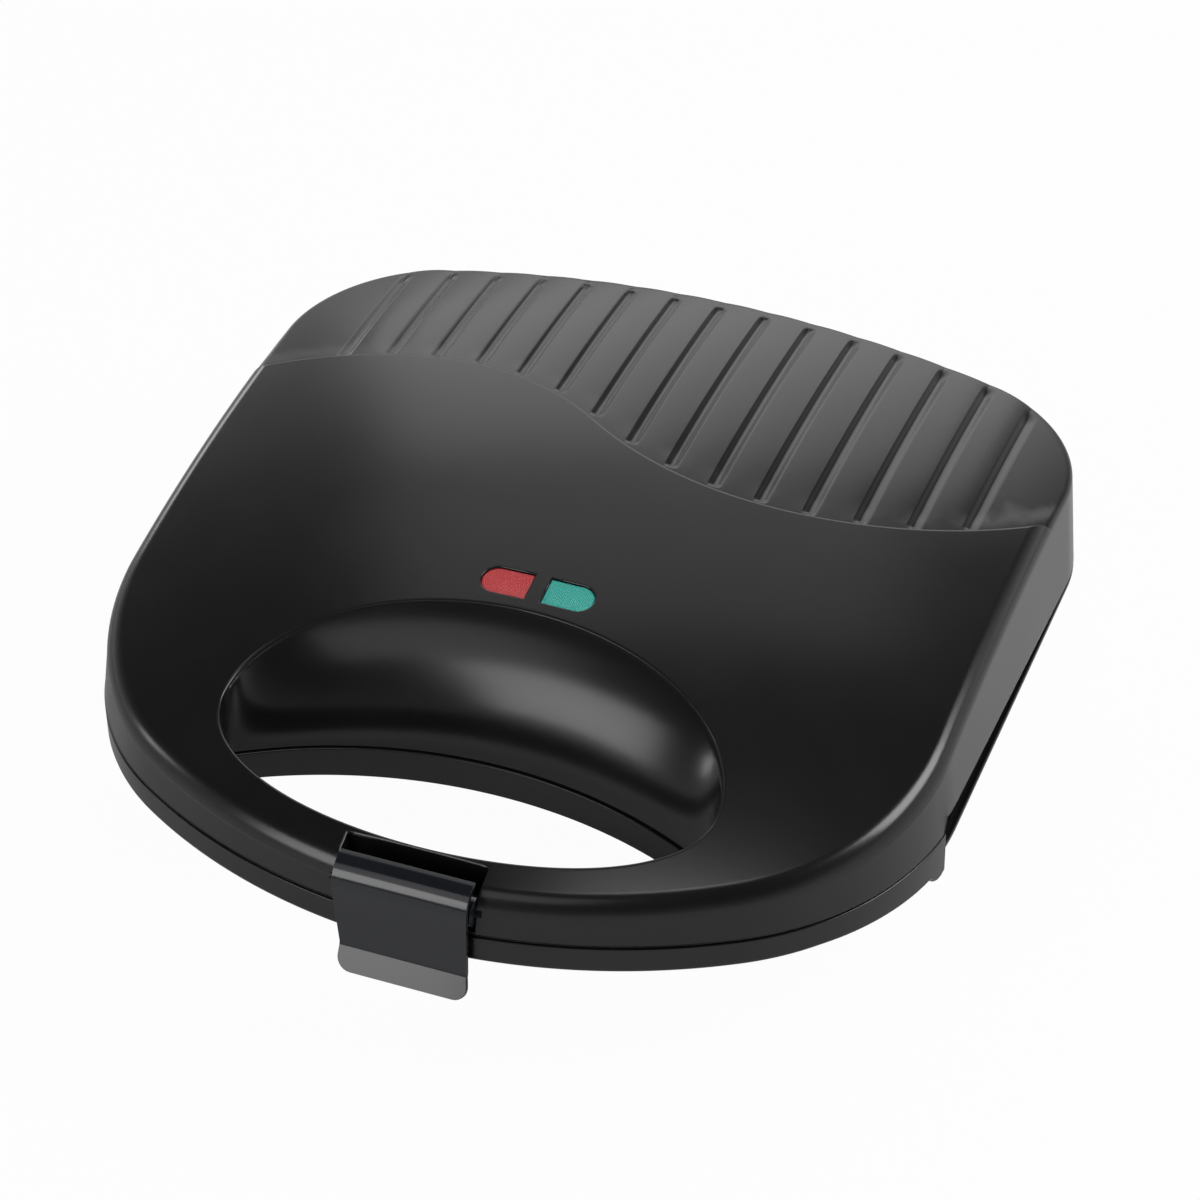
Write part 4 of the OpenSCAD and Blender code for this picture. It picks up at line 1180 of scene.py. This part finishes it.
class DONUT_OT_base(bpy.types.Operator):
    """Base shell with its half of the handle, the hinge ears and the cord inlet"""
    bl_idname = "donut_maker.base"
    bl_label = "Base shell"

    def execute(self, context):
        size = context.scene.donut_sizes
        shell = base_skin(size).build("base_shell", finish_of["base"])
        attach(shell, "base")
        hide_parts("lower_housing")
        for side in (-1, 1):
            for end in (-1, 1):
                name = f"hinge_ear_{'left' if side < 0 else 'right'}_{'in' if side * end < 0 else 'out'}"
                x, half = side * HINGE_X + end * 10.8, 3.5
                ear = cylinder(name, (x, HINGE_Y, 0), KNUCKLE_R, 2 * half, "X")
                web = block("web", (x - half, HINGE_Y - WEB, -KNUCKLE_R), (x + half, HINGE_Y, -SEAM))
                join_solid(ear, web)
                finished(ear, finish_of["base"], "base")
        axis_z, length_y = -19, 12
        collar = cylinder("cord_inlet", (0, 104.5, axis_z), 6.9, length_y, "Y")
        for normal in (1, -1):
            pick(collar, lambda mid, n, normal=normal: n.y * normal > 0.9)
            bpy.ops.mesh.inset(thickness=WALL * MM)
            extrude(0, -normal * (length_y / 2 - 0.1), 0)
        pick(collar, lambda mid, n: abs(n.y) > 0.9 and math.hypot(mid.x, mid.z - axis_z) < 2)
        bpy.ops.mesh.delete(type="FACE")
        pick(collar, lambda mid, n: True)
        bpy.ops.mesh.select_mode(type="EDGE")
        bpy.ops.mesh.select_all(action="DESELECT")
        bpy.ops.mesh.select_non_manifold()
        bpy.ops.mesh.bridge_edge_loops()
        finished(collar, finish_of["base"], "base", 0.4)
        return {"FINISHED"}


class DONUT_OT_latch(bpy.types.Operator):
    """Latch plate bent around its pin, with a hook and a flared lip"""
    bl_idname = "donut_maker.latch"
    bl_label = "Latch"

    def execute(self, context):
        left, right, top, foot = -17.3, 18.7, PIN.z + 2.2, -9.3
        face, thick = PIN.y - 6.5, 1.4
        bend, bend_r, lip, corner = math.radians(30), 2.0, 6.4, 4
        hook_low, hook_high, hook_deep = -11.2, -8.8, 2.4
        plate = block("latch_plate", (left, face, foot), (right, face + thick, top))
        pick(plate, lambda mid, n: n.z > 0.9)
        bpy.ops.mesh.spin(steps=14, angle=math.pi / 2, center=world(0, PIN.y + 0.5, top), axis=(1, 0, 0))
        pick(plate, lambda mid, n: n.z < -0.9 and mid.z < foot + 1)
        bpy.ops.transform.resize(value=(0.95, 1, 1), center_override=world(6, 0, 0))
        bpy.ops.mesh.spin(steps=8, angle=bend, center=world(0, face - bend_r, foot), axis=(1, 0, 0))
        extrude(0, -lip * math.sin(bend), -lip * math.cos(bend))
        bpy.ops.transform.resize(value=(1.04, 1, 1), center_override=world(-14, 0, 0))
        pick(plate, lambda mid, way: mid.z < foot - 5 and not -14 < mid.x < 17 and abs(way.y) > 0.6,
             edges=True)
        bpy.ops.mesh.bevel(offset=corner * MM, segments=7, affect="EDGES")
        rest()
        join_solid(plate, block("hook", (-15, face + 1.0, hook_low), (17.4, face + hook_deep, hook_high)))
        join_solid(plate, cylinder("barrel", (0, PIN.y, PIN.z), 4.0, 37.2, "X", 48))
        finished(plate, finish_of["latch"], "latch", 0.45, 30, 4)
        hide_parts("latch")
        return {"FINISHED"}


class DONUT_OT_lenses(bpy.types.Operator):
    """Red and green lamp lenses"""
    bl_idname = "donut_maker.lenses"
    bl_label = "Lenses"

    def execute(self, context):
        size = context.scene.donut_sizes
        crown = Crown(size, Plan(size))
        ly, gap, length, depth = crown.lens
        r = depth / 2
        end = gap + length - r
        panel_z = float(crown.plain(np.array(gap + length / 2), np.array(ly)))
        tall, sunk = 5.2, 0.2
        for side, name in ((-1, "red"), (1, "green")):
            lens = cylinder(f"{name}_lens_cap", (side * end, ly, panel_z - 3.0), r, tall, "Z", 48)
            bpy.ops.object.mode_set(mode="EDIT")
            bpy.ops.mesh.select_all(action="SELECT")
            bpy.ops.mesh.bisect(plane_co=world(side * end, ly, 0), plane_no=(side, 0, 0),
                                clear_inner=True, use_fill=True)
            pick(lens, lambda mid, n, side=side: n.x * side < -0.9)
            extrude(-side * (end - gap), 0, 0)
            pick(lens, lambda mid, n: n.z > 0.9)
            bpy.ops.mesh.inset(thickness=0.45 * MM)
            bpy.ops.transform.translate(value=(0, 0, 0.12 * MM))
            rest()
            modify(lens, "BEVEL", width=0.22 * MM, segments=3, limit_method="ANGLE",
                   angle_limit=math.radians(25))
            for v in lens.data.vertices:  # the face follows the crown of the lid
                at = v.co / MM - SHIFT
                if at.z > panel_z - 2.2:
                    surface = float(crown.plain(np.array(at.x), np.array(at.y)))
                    v.co.z += (surface - panel_z - sunk) * MM
            finished(lens, finish_of[name], "lid", 0)
            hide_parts(f"{name}_lens")
        return {"FINISHED"}


class DONUT_OT_plates(bpy.types.Operator):
    """Upper and lower baking plates"""
    bl_idname = "donut_maker.plates"
    bl_label = "Baking plates"

    def execute(self, context):
        low, high = [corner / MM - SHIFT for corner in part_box("lower_baking_plate")]
        corner_r = 12.0
        for name, body, flip in (("lower", "base", False), ("upper", "lid", True)):
            skin = plate_skin((low.y + high.y) / 2, high.x - low.x, high.y - low.y, corner_r, flip)
            plate = skin.build(f"{name}_plate_face", finish_of["plate"])
            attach(plate, body)
            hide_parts(f"{name}_baking_plate")
        return {"FINISHED"}


class DONUT_OT_feet(bpy.types.Operator):
    """Four rubber feet with a hollow sole"""
    bl_idname = "donut_maker.feet"
    bl_label = "Feet"

    def execute(self, context):
        for name in ("foot_front_left", "foot_front_right", "foot_rear_left", "foot_rear_right"):
            low, high = [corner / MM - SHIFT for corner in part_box(name)]
            mid, tall, hollow = (low + high) / 2, 4.0, 1.0
            foot = cylinder(f"{name}_pad", (mid.x, mid.y, low.z + tall / 2), 9.0, tall, "Z", 56)
            pick(foot, lambda at, n: n.z < -0.9)
            bpy.ops.mesh.inset(thickness=4.2 * MM)
            extrude(0, 0, hollow)
            bpy.ops.transform.resize(value=(0.9, 0.9, 1))
            finished(foot, finish_of["rubber"], "base", 0.5)
            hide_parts(name)
        return {"FINISHED"}


class DONUT_OT_stage(bpy.types.Operator):
    """Pale floor, studio light and camera"""
    bl_idname = "donut_maker.stage"
    bl_label = "Stage"

    def execute(self, context):
        stage = context.scene.donut_stage
        rest()
        bpy.ops.mesh.primitive_plane_add(size=14, location=(0, 0, -0.0004))
        floor = begun("floor")
        paper = Finish("floor_paper", Base_Color=tuple(stage.floor), Roughness=0.8)
        shade = tuple(stage.floor)
        paper.set("Base Color", paper.blend(paper.noise(3.0, 2.0), shade, tuple(c * 0.985 for c in shade)))
        floor.data.materials.append(paper.material)
        seen = paper.node("ShaderNodeLightPath", {}, {}, "Is Camera Ray") * 0.97
        glow = paper.node("ShaderNodeEmission", {}, {"Strength": 1.0})
        lit = Value(paper, paper.shader.outputs[0])
        mix = paper.node("ShaderNodeMixShader", {}, {0: seen, 1: lit, 2: glow})
        paper.feed(paper.tree.nodes["Material Output"].inputs["Surface"], mix)
        self.sky(context)
        for name, at, aim, wide, tall, power in (
                ("key_box", (-0.78, -1.35, 0.68), (0, 0, 0.05), 0.85, 0.8, 8.5),
                ("front_box", (-0.22, -1.05, 1.2), (0, 0, 0.05), 0.8, 0.6, 1.4),
                ("back_box", (-0.45, 1.5, 1.03), (0, 0, 0.05), 1.2, 0.8, 4.6),
                ("upper_box", (-0.33, 0.82, 1.33), (0, 0, 0.05), 0.9, 0.5, 1.0),
                ("side_box", (0.85, 0.2, 0.75), (0.1, 0, 0), 0.6, 0.5, 7.2),
                ("rim_box", (-1.22, 0.95, 0.45), (0, 0, 0.05), 0.45, 0.35, 1.9),
                ("left_box", (-1.5, -0.49, 0.52), (0, 0, 0.05), 0.25, 0.3, 1.2),
                ("top_box", (0.02, -0.1, 1.55), (0, 0, 0.05), 0.4, 0.32, 1.4)):
            lamp = bpy.data.lights.new(name, "AREA")
            lamp.shape, lamp.size, lamp.size_y, lamp.energy = "RECTANGLE", wide, tall, power
            holder = bpy.data.objects.new(name, lamp)
            context.scene.collection.objects.link(holder)
            holder.location = at
            holder.rotation_euler = (Vector(at) - Vector(aim)).to_track_quat("Z", "Y").to_euler()
        self.camera(context, stage)
        context.scene.view_settings.view_transform = "Standard"
        return {"FINISHED"}

    def sky(self, context):
        world_look = bpy.data.worlds.new("studio")
        context.scene.world = world_look
        world_look.use_nodes = True
        graph = Graph(world_look.node_tree)
        soft = graph.tree.nodes["Background"]
        _, y, z = graph.parts(graph.node("ShaderNodeTexCoord", {}, {}, "Generated"))
        stops = ((0.0, 1.2), (0.35, 0.8), (0.55, 0.45), (0.75, 0.18), (1.0, 0.06))
        light = graph.node("ShaderNodeValToRGB", {"stops": stops}, {0: z + (y * -0.3 + 0.3)})
        graph.feed(soft.inputs[0], light)
        white = graph.node("ShaderNodeBackground", {}, {0: (1.0, 1.0, 1.0)})
        seen = graph.node("ShaderNodeLightPath", {}, {}, "Is Camera Ray")
        mix = graph.node("ShaderNodeMixShader", {}, {0: seen, 1: Value(graph, soft.outputs[0]), 2: white})
        graph.feed(graph.tree.nodes["World Output"].inputs[0], mix)

    def camera(self, context, stage):
        eye = bpy.data.objects.new("camera", bpy.data.cameras.new("camera"))
        context.scene.collection.objects.link(eye)
        ca, sa = math.cos(stage.azimuth), math.sin(stage.azimuth)
        ce, se = math.cos(stage.elevation), math.sin(stage.elevation)
        back, right = Vector((sa * ce, -ca * ce, se)), Vector((ca, sa, 0))
        up = back.cross(right)
        cr, sr = math.cos(stage.roll), math.sin(stage.roll)
        turned = Matrix((cr * right + sr * up, cr * up - sr * right, back)).transposed()
        eye.matrix_world = Matrix.Translation(stage.place) @ turned.to_4x4()
        eye.data.lens, eye.data.sensor_width = stage.lens, 36
        context.scene.camera = eye


class DONUT_PT_panel(bpy.types.Panel):
    """Steps that build the donut maker, in order"""
    bl_label = "Donut maker"
    bl_idname = "DONUT_PT_panel"
    bl_space_type = "VIEW_3D"
    bl_region_type = "UI"
    bl_category = "Donut maker"

    def draw(self, context):
        for step in STEPS:
            self.layout.operator(step.bl_idname)
        for group in (context.scene.donut_sizes, context.scene.donut_finishes, context.scene.donut_stage):
            box = self.layout.box()
            for key in group.__annotations__:
                box.prop(group, key)


STEPS = (DONUT_OT_finishes, DONUT_OT_lid, DONUT_OT_base, DONUT_OT_latch, DONUT_OT_lenses, DONUT_OT_plates,
         DONUT_OT_feet, DONUT_OT_stage)
CLASSES = (HousingSizes, Finishes, StageSizes, *STEPS, DONUT_PT_panel)


def register():
    for each in CLASSES:
        bpy.utils.register_class(each)
    bpy.types.Scene.donut_sizes = PointerProperty(type=HousingSizes)
    bpy.types.Scene.donut_finishes = PointerProperty(type=Finishes)
    bpy.types.Scene.donut_stage = PointerProperty(type=StageSizes)


def unregister():
    for key in ("donut_sizes", "donut_finishes", "donut_stage"):
        delattr(bpy.types.Scene, key)
    for each in reversed(CLASSES):
        bpy.utils.unregister_class(each)


def main():
    register()
    bpy.ops.donut_maker.finishes()
    bpy.ops.donut_maker.lid()
    bpy.ops.donut_maker.base()
    bpy.ops.donut_maker.latch()
    bpy.ops.donut_maker.lenses()
    bpy.ops.donut_maker.plates()
    bpy.ops.donut_maker.feet()
    bpy.ops.donut_maker.stage()
    rest()


if __name__ == "__main__":
    main()
